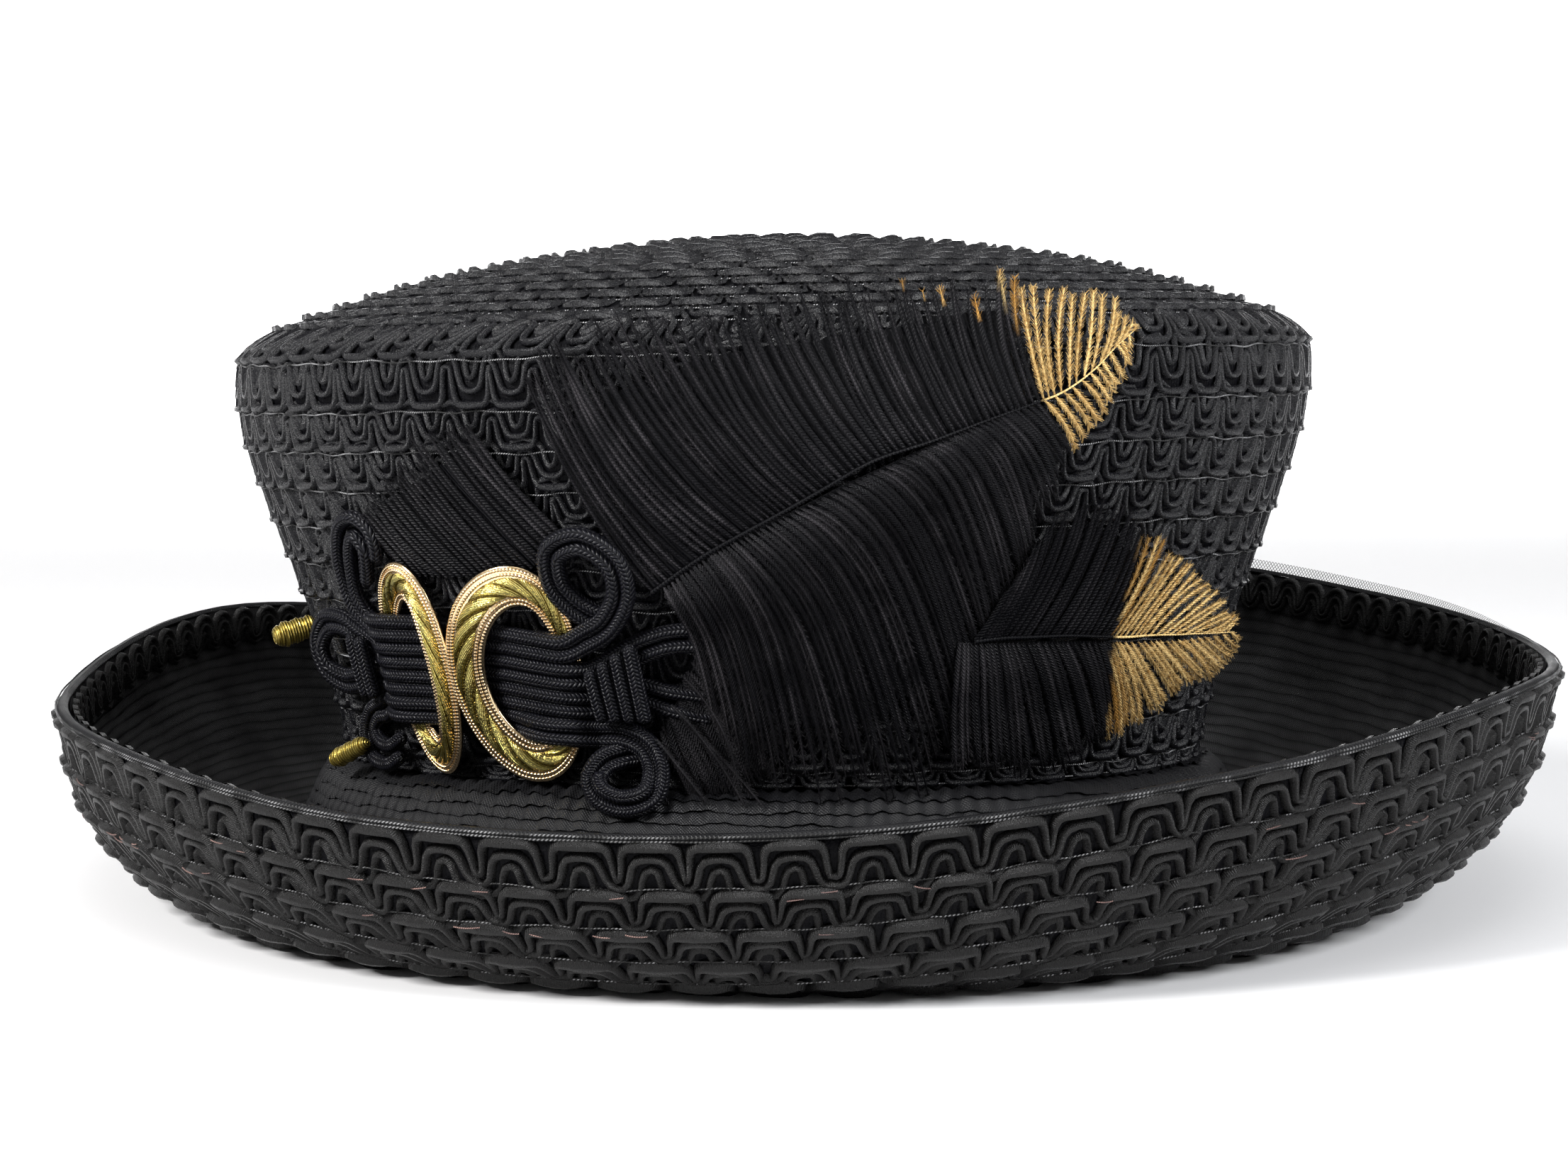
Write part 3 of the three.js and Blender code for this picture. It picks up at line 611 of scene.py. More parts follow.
# A braided cord's plait, for its look and for its form
PLAIT_COLUMNS = 8
PLAIT_STITCH = 0.95
PLAIT_SLANT = 0.75
DYED_BLACK = (0.002, 0.002, 0.003)
crown_braid_look = wrapped_cord_look("crown_braid", DYED_BLACK, (0.006, 0.006, 0.008), 0.3, 0.36, 0.18, 0.38)
brim_braid_look = wrapped_cord_look("brim_braid", (0.002, 0.002, 0.002), (0.011, 0.0105, 0.0105), 0.32, 0.22,
                                    0.22, 0.5)
ground_look = wrapped_cord_look("braid_ground", DYED_BLACK, (0.004, 0.004, 0.005), 0.8, 0.06)
# Stitch looks: a pale colour for the painted highlights on each twist, then a dark one for the painted shade
# in the gaps.
crown_stitch_look = stitch_look("crown_stitch", (0.4, 0.4, 0.41), (0.01, 0.01, 0.01), 0.6)
rim_stitch_look = stitch_look("rim_stitch", (0.22, 0.22, 0.225), (0.006, 0.006, 0.006), 0.9)
loose_stitch_look = stitch_look("loose_stitch", (0.3, 0.19, 0.16), (0.1, 0.06, 0.055), 0.5)
net_facing_look = net_look("net_facing", (0.003, 0.003, 0.004), (0.2, 0.2, 0.203), 0.7, 3.4)
rim_border_look = net_look("rim_border", DYED_BLACK, (0.02, 0.02, 0.021), 0.9, 3.4)
net_edge_look = net_look("net_edge", (0.1, 0.1, 0.1), (0.3, 0.3, 0.3), 1.0, 3.0, open_share=0.9)
plait = plait_look("braided_cord", DYED_BLACK, (0.013, 0.013, 0.019), PLAIT_COLUMNS, PLAIT_STITCH)
feather_look = barb_look("feather", DYED_BLACK, (0.04, 0.037, 0.041), (0.36, 0.17, 0.03), (1.0, 0.74, 0.33))
slide_edge_look = bright_metal_look("slide_border", (0.98, 0.74, 0.45), (0.4, 0.24, 0.09), 0.17, 1500, 0.03)
slide_rope_look = spun_look("slide_rope", (1.0, 0.88, 0.3), (0.12, 0.06, 0.005), 9)
gold_wound_look = wound_look("gold_thread", (0.85, 0.7, 0.2), (0.25, 0.16, 0.02), 0.75)
pin_steel_look = bright_metal_look("pin_steel", (0.8, 0.81, 0.82), (0.45, 0.45, 0.46), 0.2, 900, 0.01)


# Braid: three nested cords that wind between a row's closed edge and its seam. Each place is a
# share of the repeat across, a share of the row down, and a share of the cord's width.
BRAID_CORDS = [
    [(-0.5, 0.8, 0.95), (-0.462, 0.775, 0.9), (-0.44, 0.68, 0.85), (-0.432, 0.48, 0.85), (-0.425, 0.3, 0.95),
     (-0.39, 0.17, 1.1), (-0.31, 0.11, 1.2), (-0.1, 0.095, 1.3), (0.1, 0.095, 1.3), (0.26, 0.11, 1.2),
     (0.335, 0.17, 1.05), (0.385, 0.32, 0.9), (0.415, 0.5, 0.85), (0.44, 0.68, 0.85), (0.462, 0.775, 0.9)],
    [(-0.5, 1.0, 1), (-0.41, 0.975, 1), (-0.345, 0.87, 0.95), (-0.315, 0.7, 0.95), (-0.285, 0.52, 0.95),
     (-0.22, 0.405, 1), (-0.1, 0.35, 1.05), (0.02, 0.345, 1.05), (0.13, 0.375, 1), (0.205, 0.46, 0.95),
     (0.26, 0.62, 0.95), (0.31, 0.8, 0.95), (0.37, 0.93, 1), (0.44, 0.99, 1)],
    [(-0.5, 1.25, 1), (-0.25, 1.16, 1), (-0.17, 1.0, 0.95), (-0.15, 0.8, 0.9), (-0.1, 0.64, 0.95),
     (-0.01, 0.575, 1), (0.06, 0.63, 0.95), (0.1, 0.78, 0.9), (0.13, 1.0, 0.95), (0.25, 1.16, 1)],
]
# The same with a round arch for an edge, for the row inside the brim
ARCH_CORDS = [
    [(-0.5, 0.95, 1), (-0.46, 0.8, 1), (-0.44, 0.6, 1), (-0.41, 0.42, 1), (-0.34, 0.25, 1), (-0.2, 0.1, 1.1),
     (0, 0.05, 1.15), (0.2, 0.1, 1.1), (0.34, 0.25, 1), (0.41, 0.42, 1), (0.44, 0.6, 1), (0.46, 0.8, 1)],
    [(-0.5, 1.05, 1), (-0.4, 1, 1), (-0.33, 0.85, 1), (-0.29, 0.62, 1), (-0.22, 0.45, 1), (-0.1, 0.34, 1),
     (0.02, 0.32, 1), (0.13, 0.38, 1), (0.22, 0.5, 1), (0.28, 0.68, 1), (0.33, 0.88, 1), (0.4, 1, 1)],
    [(-0.5, 1.25, 1), (-0.22, 1.1, 1), (-0.15, 0.9, 1), (-0.1, 0.7, 1), (0, 0.6, 1), (0.1, 0.7, 1),
     (0.15, 0.9, 1), (0.22, 1.1, 1)],
]


FLAT_HALF = 0.36
FLAT_DEPTH = 0.2
BRAID_FLATNESS = 0.55
THREAD_FLATNESS = 0.5
UNEVEN = {"lean": 0.08, "wander": 0.06, "reach": 0.07}
DRIFT_WAVES = (13, 31)


def braid_row(threads, at, edge, seam, period, width, lifts, hand=1, lean=0.0, flat_rise=0.45,
              cords=BRAID_CORDS, lens=0.0):
    """One row of braid round the hat. Edge and seam are distances down the face."""
    turns = np.arange(361.0)
    line, _ = at(turns, np.full(len(turns), (edge + seam) / 2))
    along = lengths(line)
    count = max(3, round(along[-1] / period))
    pitch = along[-1] / count
    deep = abs(seam - edge)
    toward = np.sign(seam - edge)
    start = seed.uniform(0, pitch)
    lean = lean + seed.uniform(-UNEVEN["lean"], UNEVEN["lean"])
    wander = seed.uniform(-UNEVEN["wander"], UNEVEN["wander"], (count, 1)) * pitch
    reach = 1 + seed.uniform(-UNEVEN["reach"], UNEVEN["reach"], (count, 1))
    number = np.arange(count)[:, None]
    for shares in cords:
        u, v, wide = np.array(shares).T
        on_flat = np.clip(1 - (u / FLAT_HALF) ** 2, 0, 1) * (v < FLAT_DEPTH)
        wide = wide * np.where(v < FLAT_DEPTH, 1 - lens * (1 - np.sqrt(on_flat)), 1)
        way = hand * (u + number) * pitch + wander + lean * v * deep + start
        down = edge + toward * v * deep * reach
        turn = np.interp(np.mod(way, along[-1]), along, turns)
        lift = np.tile(blend(*lifts, np.clip(v, 0, 1)) + flat_rise * on_flat, count)
        place, out = at(turn.ravel(), down.ravel())
        broad = np.tile(width * wide, count)
        path = place + out * lift[:, None]
        threads.add(half_round(path, out, broad, broad * BRAID_FLATNESS, thin=shares is cords[-1]), ring=True)
    return count


def seam_thread(threads, at, down, lift, width, wave, repeats=60):
    """A sewing thread round the hat, laid a little unevenly."""
    turns = np.arange(360.0)
    round_it = np.radians(turns)
    drift = wave * sum(np.sin(round_it * k + seed.uniform(0, 6)) for k in (*DRIFT_WAVES, repeats))
    place, out = at(turns, down + drift)
    threads.add(half_round(place + out * lift, out, width, width * THREAD_FLATNESS, thin=True), ring=True)


# The wall under the braid, in millimetres and degrees
WALL_SEGMENTS = 120
WALL_MERGED = 0.01
WALL_MM_PER_DEGREE = 2
WALL_WEAVE_DEPTH = 100


def shell(name, at, downs, lifts, node, stretch=None):
    """A closed wall under the braid, between two lifts: a grid bent round the hat, then thickened."""
    wall = bmesh.new()
    bmesh.ops.create_grid(wall, x_segments=WALL_SEGMENTS, y_segments=len(downs) - 1, size=1)
    flat = np.array([v.co[:] for v in wall.verts])
    turn = (flat[:, 0] + 1) * 180
    down = np.interp((flat[:, 1] + 1) / 2, np.linspace(0, 1, len(downs)), downs)
    if stretch is not None:
        down = down * stretch(turn)
    place, out = at(turn, down)
    marks = wall.loops.layers.uv.new("thread")
    for face in wall.faces:
        for loop in face.loops:
            i = loop.vert.index
            loop[marks].uv = turn[i] * WALL_MM_PER_DEGREE, down[i] / WALL_WEAVE_DEPTH
    for v, bent in zip(wall.verts, (place + out * lifts[0]) * MM):
        v.co = bent
    bmesh.ops.remove_doubles(wall, verts=wall.verts[:], dist=WALL_MERGED * MM)
    bmesh.ops.recalc_face_normals(wall, faces=wall.faces[:])
    bmesh.ops.solidify(wall, geom=wall.faces[:], thickness=(lifts[0] - lifts[1]) * MM)
    placed(shaped(wall, name), ground_look, "braid", node)


# Crown, with distances down from the tip's middle. "Set" says how far from a row's seam line its
# edge, its other seam and its stitches lie.
CROWN_GROUND_STEPS = 38
CROWN_GROUND_LIFTS = (-1.5, -2.4)
TIP_MIDDLE = {"edge": 6, "seam": 0.6, "period": 6.5, "width": 1.1, "lifts": (-0.5, -0.6)}
TIP_MIDDLE_REACH = 8
TIP_PITCH = 7.1
TIP_PERIOD = {"widest": 12, "at_middle": 7, "growth": 0.1}
TIP_ROW = {"width": 1.3, "lifts": (-0.6, -1.7), "hand": -1, "flat_rise": 0.65, "lens": 0.65}
TIP_SET = {"edge": 0.6, "stitch": 0.9}
TIP_STITCH = {"lift": -1.1, "width": 0.3, "wave": 0.15}
BRAID_HIDDEN = 2.4
SHOULDER = (114, 125.7)
SHOULDER_LEAN = 0.42
SIDE_SEAMS = (137.2, 146.4, 155.8, 165.2, 174.6, 184, 193.4, 202.8, 212.2, 221.4)
SIDE_ROW = {"period": 10.8, "width": 1.52, "lifts": (-0.6, -1.15), "hand": -1, "flat_rise": 0.3}
SIDE_SET = {"edge": 0.5, "seam": 0.3, "stitch": 0.8}
SIDE_STITCH = {"lift": -0.35, "width": 0.34, "wave": 0.2}


def crown():
    downs = np.linspace(0.5, CROWN_REACH, CROWN_GROUND_STEPS)
    shell("crown_ground", crown_at, downs, CROWN_GROUND_LIFTS, "crown")
    tip, side, stitches = Threads(), Threads(), Threads()
    braid_row(tip, crown_at, **TIP_MIDDLE)
    for lower in np.arange(SHOULDER[0], TIP_MIDDLE_REACH, -TIP_PITCH):
        upper = max(lower - TIP_PITCH - BRAID_HIDDEN, 1)
        period = min(TIP_PERIOD["widest"], TIP_PERIOD["at_middle"] + lower * TIP_PERIOD["growth"])
        count = braid_row(tip, crown_at, lower + TIP_SET["edge"], upper, period, **TIP_ROW)
        seam_thread(stitches, crown_at, lower + TIP_SET["stitch"], repeats=count, **TIP_STITCH)
    upper = SHOULDER[0]
    for lower in (SHOULDER[1], *SIDE_SEAMS, CROWN_REACH):
        lean = SHOULDER_LEAN if lower == SHOULDER[1] else 0
        edge, seam = lower + SIDE_SET["edge"], upper + SIDE_SET["seam"]
        count = braid_row(side, crown_at, edge, seam, lean=lean, **SIDE_ROW)
        seam_thread(stitches, crown_at, lower + SIDE_SET["stitch"], repeats=count, **SIDE_STITCH)
        upper = lower
    tip.piece("crown_tip_braid", crown_braid_look, "braid")
    side.piece("crown_side_braid", crown_braid_look, "braid")
    stitches.piece("crown_stitches", crown_stitch_look, "braid")


# Brim, with distances down from the rim
BRIM_GROUND_STEPS = 30
BRIM_GROUND_LIFTS = (-1.9, -2.4)
BRIM_ROW = {"period": 14.7, "width": 2.2, "lifts": (-1.0, -1.7)}
BRIM_SET = {"seam": -0.2, "stitch": -0.5}
BRIM_STITCH = {"lift": -0.75, "width": 0.34, "wave": 0.2}
BRIM_REACH = min(brim_reach)
RIM_BORDER = 1.0
FIRST_SEAM = 11.6
BRIM_PITCH = 9.4
BRIM_SEAMS = [FIRST_SEAM + BRIM_PITCH * k for k in range(10)]
LOOSE_STITCHES = 46
LOOSE_LENGTH = (1.2, 2.6)
LOOSE_SLANT = (-0.5, 0.5)
LOOSE_BELOW = 0.6
LOOSE_SPREAD = (-0.5, 0.9)
LOOSE_RISE = 0.35
LOOSE_SECTION = (0.26, 0.16)
BRIM_MM_PER_DEGREE = 2.4


def brim_stretch(turns):
    """How much longer the way from rim to headline is at a turn than at the shortest place."""
    return np.interp(turns, np.arange(0, 361, BRIM_TURN_STEP), [*brim_reach, brim_reach[0]]) / BRIM_REACH


def brim():
    downs = np.linspace(0.6, BRIM_REACH - 0.5, BRIM_GROUND_STEPS)
    shell("brim_ground", brim_at, downs, BRIM_GROUND_LIFTS, "brim", stretch=brim_stretch)
    rows, stitches, loose = Threads(), Threads(), Threads()
    for upper, lower in zip([RIM_BORDER] + BRIM_SEAMS[:-1], BRIM_SEAMS):
        count = braid_row(rows, brim_at, upper, lower + BRIM_SET["seam"], **BRIM_ROW)
        seam_thread(stitches, brim_at, lower + BRIM_SET["stitch"], repeats=count, **BRIM_STITCH)
    share = np.linspace(-1, 1, 5)
    raised = (LOOSE_RISE + LOOSE_RISE * (1 - share ** 2))[:, None]
    for seam in BRIM_SEAMS[:2]:
        for turn in np.sort(seed.uniform(0, 360, LOOSE_STITCHES)):
            length, slant = seed.uniform(*LOOSE_LENGTH), seed.uniform(*LOOSE_SLANT)
            down = seam + LOOSE_BELOW + seed.uniform(*LOOSE_SPREAD) + slant * share
            place, out = brim_at(turn + share * length / BRIM_MM_PER_DEGREE, down)
            loose.add(half_round(place + out * raised, out, *LOOSE_SECTION, ring=False))
    rows.piece("brim_braid", brim_braid_look, "braid")
    stitches.piece("brim_stitches", rim_stitch_look, "braid")
    loose.piece("brim_loose_stitches", loose_stitch_look, "braid")


# Net facing inside the brim, the braid row below the rim, and the rim's edge
FACING_LIFT = -2.9
RIB_PITCH = 2.6
RIB_OVERLAP = 1.0
RIB_LIFTS = (0.85, 0.6, 0.05)
RIB_STATIONS = {"smooth": 260, "gathered": 860}
# Ripple of a rib's edge: its size and how often it comes round the hat
SLOW_RIPPLE = (0.3, (18, 40))
QUICK_RIPPLE = (0.15, 71)
GATHERED_DEPTH = 26
GATHERS_ROUND = 170
GATHERS_RISE = 0.75
# Painted shade on the net facing: darkest within the first of these distances from the crown's foot, gone by
# the second
NET_SHADE = 0.1
NET_SHADED = (22, 38)
INNER_ROW = {"edge": 0.9, "seam": 8.5, "period": 8.2, "width": 1.5, "lifts": (1.7, 1.5), "flat_rise": 0}
RIM_THREADS = [(0.05, -0.5), (0.9, -0.6)]
RIM_THREAD_WIDTH = 0.5
BORDER_DOWN = 0.4
BELOW_BORDER = 4.0
BORDER_LIFT = -1.95
BORDER_SECTION = (2.7, 0.7)
NET_SHOWN = 0.75
NET_FOOT = 0.8
NET_LIFT = -2.6
NET_STANDS = {"turns": (80, 105, 175, 200), "share": (0, 1, 1, 0)}


def facing_at(turn, down):
    """Place and outward direction on the brim's inside, by turn and distance from the rim."""
    place, out = brim_at(turn, down)
    return place + out * FACING_LIFT, -out


def facing():
    net = Threads()
    for top in np.arange(0.8, BRIM_REACH - 2, RIB_PITCH):
        to_foot = BRIM_REACH - top
        gathered = np.clip((GATHERED_DEPTH - to_foot) / GATHERED_DEPTH, 0, 1)
        turns = np.linspace(0, 360, RIB_STATIONS["gathered" if gathered > 0 else "smooth"], endpoint=False)
        a = np.radians(turns)
        ripple = SLOW_RIPPLE[0] * np.sin(a * seed.integers(*SLOW_RIPPLE[1]) + seed.uniform(0, 6))
        ripple = ripple + QUICK_RIPPLE[0] * np.sin(a * QUICK_RIPPLE[1] + seed.uniform(0, 6))
        down = (top + ripple)[:, None] + (RIB_PITCH + RIB_OVERLAP) * np.array([[0, 0.5, 1]])
        down = brim_stretch(turns)[:, None] * np.clip(down, 0, BRIM_REACH - 0.3)
        place, out = facing_at(np.broadcast_to(turns[:, None], down.shape), down)
        folds = np.sin(a * GATHERS_ROUND + 2 * np.sin(a * 7))
        strength = GATHERS_RISE * gathered * (0.7 + 0.5 * np.sin(a * 5 + 1) * np.sin(a * 3))
        lift = np.array(RIB_LIFTS)[None, :, None] + (folds * strength)[:, None, None]
        # The tone mark here carries painted shade, darker toward the crown's foot.
        net.add((place + out * lift)[:, ::-1], ring=True, tone=np.interp(to_foot, NET_SHADED, [NET_SHADE, 1]))
    net.piece("net_facing", net_facing_look, "net", "brim_facing")


def rim_edge():
    row, thread, border, stand = Threads(), Threads(), Threads(), Threads()
    braid_row(row, facing_at, cords=ARCH_CORDS, **INNER_ROW)
    row.piece("inner_braid_row", brim_braid_look, "braid", "inner_rim_row")
    for down, lift in RIM_THREADS:
        seam_thread(thread, brim_at, down, lift, RIM_THREAD_WIDTH, wave=0.05)
    thread.piece("rim_threads", rim_stitch_look, "braid")
    turns = np.arange(360.0)
    place, out = brim_at(turns, np.full(360, BORDER_DOWN))
    below, _ = brim_at(turns, np.full(360, BELOW_BORDER))
    border.add(half_round(place + out * BORDER_LIFT, unit(place - below), *BORDER_SECTION), ring=True)
    border.piece("rim_border", rim_border_look, "net")
    shown = NET_SHOWN * np.interp(turns, NET_STANDS["turns"], NET_STANDS["share"])
    above = (round_table(NET_ABOVE, turns) * shown)[:, None]
    share = np.linspace(0, 1, 4)[None]
    down = NET_FOOT * (1 - share) - above * share
    place, out = brim_at(np.broadcast_to(turns[:, None], down.shape), down)
    stand.add(place + out * NET_LIFT, ring=True)
    stand.piece("net_edge", net_edge_look, "net")


# Cord ornament, as listed stations of along, up and lift
CORD_RADIUS = 1.75
CORD_STEP = 0.35
PLAIT_DEPTH = 0.3
PLAIT_START = 0.17
CORD_PITCH = 3.2
SNUG_TOP, SNUG_MIDDLE, SNUG_LOW = 3.3, 3, -3.2
BAND_FRONT = (-98, 37.2)
BAND_BACK = (-46, 33.7)
LAST_WRAPPED_CORD = 6
# along, lift, lift of the two lowest cords
BAND_RISES = [
    (-107.5, 2, 2.6), (-103, 4, 4.6), (-98, 4.2, 5), (-90, 2.6, 2.8), (-79, 2, 2),
    (-67.5, 2.3, 2.1), (-56, 3.8, 5.3), (-48.6, 4.2, 4.8),
]
LOOPS = {
    "top_front_inner": [(-104, 44.5, 2.2), (-101.9, 49, 2.2), (-100.6, 53.4, 2.2), (-102.8, 56, 2.2),
                        (-105.6, 53.4, 2.2), (-108.2, 47.5, 2.2), (-109.4, 42, 2.2)],
    "top_front_outer": [(-98, 50.2, 2), (-96.4, 53.6, 2.2), (-96.8, 57.6, 2.2), (-100.8, 60.4, 2.2),
                        (-106.4, 58.6, 2.2), (-111.2, 52, 2.2), (-113.2, 44.5, 2.2), (-112.2, 38, 2.2)],
    "top_back_outer": [(-43, 32.8, 4), (-36.2, 36.8, 4.6), (-31.5, 44.8, 5), (-32.8, 53, 4.8),
                       (-41, 58, 4.2), (-49.2, 54.4, 3.4), (-50.4, 46, 2.6), (-46.6, 39.6, 1.6),
                       (-40.6, 36, 1), (-37, 35, 0.9)],
    "middle_outer": [(-113.5, 33.6, 2), (-119, 36.4, 2.2), (-128, 36.4, 3.2), (-134, 30.4, 5),
                     (-133, 23.5, 5), (-126, 19.6, 3.2), (-116, 20.6, 2)],
    "low_front_outer": [(-104, 5.2, 5), (-110, 2.8, 5), (-118, 3.6, 4.4), (-122.4, 8.4, 3),
                        (-119, 14, 2.4), (-113, 16.6, 2)],
    "low_front_inner": [(-104, 9.4, 3.4), (-110, 6.8, 3.6), (-115.6, 7.6, 3.2), (-117.6, 10.2, 2.6),
                        (-114.6, 12.8, 2.3), (-111, 13.4, 2)],
    "low_back_outer": [(-43.8, 13.8, 2.2), (-36, 13.6, 2.4), (-29.6, 10.6, 3.4), (-26.8, 5.2, 5.4),
                       (-28.3, -0.4, 8.4), (-35.4, -2.8, 9.4), (-43, -0.8, 8.4), (-45.8, 3.4, 6),
                       (-43, 7.4, 4), (-37, 9.4, 2.4), (-33, 9.6, 1.4)],
    "tail_3": [(-14, 36, 2.2), (-24, 35.6, 2.2), (-33, 32.6, 2), (-43.8, 27.2, 2)],
    "tail_4": [(-14, 32.4, 2.2), (-24, 32, 2.2), (-33, 28.8, 2), (-43.8, 24, 2)],
    "tail_5": [(-43.8, 20.6, 2), (-33, 23.6, 2), (-24, 22, 2.2), (-14, 20.8, 2.2)],
    "tail_6": [(-43.8, 17.4, 2), (-33, 20, 2), (-24, 17.6, 2.2), (-14, 15.8, 2.2)],
}
# along and up at the top, along and up at the bottom
WRAPS = {
    "front_wrap_1": (-109.2, 33.6, -109.6, 18.6), "front_wrap_2": (-112.5, 34, -113, 18.6),
    "back_wrap_1": (-42.8, 28.2, -40.6, 15.8), "back_wrap_2": (-39.4, 30, -37.2, 15.8),
    "back_wrap_3": (-36, 32, -33.8, 15.8), "back_wrap_4": (-32.6, 34, -30.4, 15.8),
}
WRAP_LIFT = (5.3, 5.6, 5.3)


def band_stretch(line, backward=False):
    """One line of the band from front to back, or the other way."""
    rows = []
    for along, lift, low_lift in BAND_RISES:
        up = np.interp(along, *np.transpose([BAND_FRONT, BAND_BACK])) - (line - 1) * CORD_PITCH
        rows.append((along, up, low_lift if line > LAST_WRAPPED_CORD else lift))
    return rows[::-1] if backward else rows


def inside(route, by):
    """A second cord laid snug beside the first one, on the side of the loop's middle."""
    line = centripetal(route, 4)
    ahead = unit(np.gradient(line[:, :2], axis=0))
    line[:, :2] += by * np.column_stack([-ahead[:, 1], ahead[:, 0]])
    return [tuple(place) for place in line]


def cord_routes():
    g = LOOPS
    inner_middle = inside(g["middle_outer"], SNUG_MIDDLE)
    routes = {
        "cord_1": g["top_front_inner"] + band_stretch(1) + inside(g["top_back_outer"], SNUG_TOP),
        "cord_2": g["top_front_outer"] + band_stretch(2) + g["top_back_outer"],
        "cord_3": g["tail_3"] + band_stretch(3, True) + g["middle_outer"] + band_stretch(6) + g["tail_6"],
        "cord_4": g["tail_4"] + band_stretch(4, True) + inner_middle + band_stretch(5) + g["tail_5"],
        "cord_5": g["low_front_outer"] + band_stretch(7) + g["low_back_outer"],
        "cord_6": g["low_front_inner"] + band_stretch(8) + inside(g["low_back_outer"], SNUG_LOW),
    }
    for name, (top, top_up, low, low_up) in WRAPS.items():
        middle = ((top + low) / 2, (top_up + low_up) / 2, WRAP_LIFT[1])
        routes[name] = [(top, top_up, WRAP_LIFT[0]), middle, (low, low_up, WRAP_LIFT[2])]
    return routes


def rounded_ends(path, radius):
    """Radii along a cord that close it softly at both ends."""
    along = lengths(path)
    near = np.minimum(along, along[-1] - along) / radius
    return radius * np.sqrt(np.clip(1 - (1 - np.clip(near, 0.02, 1)) ** 2, 0.02, 1))


def plaited(path, radius):
    """Radii round and along a braided cord: slanted strands in columns that lean by turns."""
    column = np.linspace(0, PLAIT_COLUMNS, 3 * PLAIT_COLUMNS, endpoint=False)[None] + PLAIT_START
    within = column - np.floor(column)
    lean = (np.floor(column) % 2) * 2 - 1
    along = lengths(path)[:, None] + within * lean * PLAIT_STITCH * PLAIT_SLANT
    rise = np.abs(np.sin(along * math.pi / PLAIT_STITCH)) ** 0.8 * np.sin(within * math.pi) ** 0.5
    return rounded_ends(path, radius)[:, None] * (1 - PLAIT_DEPTH / radius * (1 - rise))


def cords():
    for name, route in cord_routes().items():
        path = resample(centripetal(side_at(*np.array(route, float).T), 16), CORD_STEP)
        cord = Threads()
        cord.add(tube(path, plaited(path, CORD_RADIUS), 3 * PLAIT_COLUMNS, start=(0, -1, 0.2)), tube=True)
        cord.piece(name + "_braided", plait, "cord", name)


# The gilt slide: two rings back to back, each a spun rope lying between beaded borders
# Each ring: along, up, half length, half height, side of the spine, then its half width at the
# bar, at the spine and the more of it at the top and foot
SLIDE_RINGS = [(-61.7, 26, 12.9, 20.1, -1, 2.6, 5.2, 0.2), (-92.1, 26.3, 9.9, 20.2, 1, 2.8, 3.6, 1.2)]
SLIDE = {"thick_spine": 1.7, "thick_bar": 0.9, "spine_lift": 6.2, "bar_lift": 1.3, "skew": 2.3}
RIM_RISE = (0.5, -0.6)
RING_STATIONS = 420
RING_SIDES = 24
ROPE_SIDES = 21
BEAD_SIDES = 5
ROPE_STRANDS = 16
ROPE_TWIST = 1.7
ROPE_HALF = 0.5
ROPE_RISE = {"foot": 0.3, "hollow": 0.15, "strand": 1.0}
# Lines of beads: place across, rise
BEAD_LINES = [(-0.84, 0.3), (-0.62, 0.42), (0.62, 0.42), (0.84, 0.3)]
BEAD_STEP = 0.2
BEAD_LENGTH = 4
BEAD_RADIUS = {"between": 0.28, "more": 0.22}


def ring_place(ring, turn, across, rise):
    """A place on one ring of the slide: across from -1 at its inner edge to 1 at its outer one."""
    along, up, half_length, half_height, spine, half_bar, half_spine, more = ring
    toward = (1 + spine * np.cos(turn)) / 2
    half = blend(half_bar, half_spine, toward ** 0.5) + more * np.sin(turn) ** 2
    thick = blend(SLIDE["thick_bar"], SLIDE["thick_spine"], toward)
    middle = blend(SLIDE["bar_lift"], SLIDE["spine_lift"], toward)
    skew = SLIDE["skew"] * np.sin(turn) ** 2
    return side_at(along + skew + (half_length + across * half) * np.cos(turn),
                   up + (half_height + across * half) * np.sin(turn), middle + rise * thick)


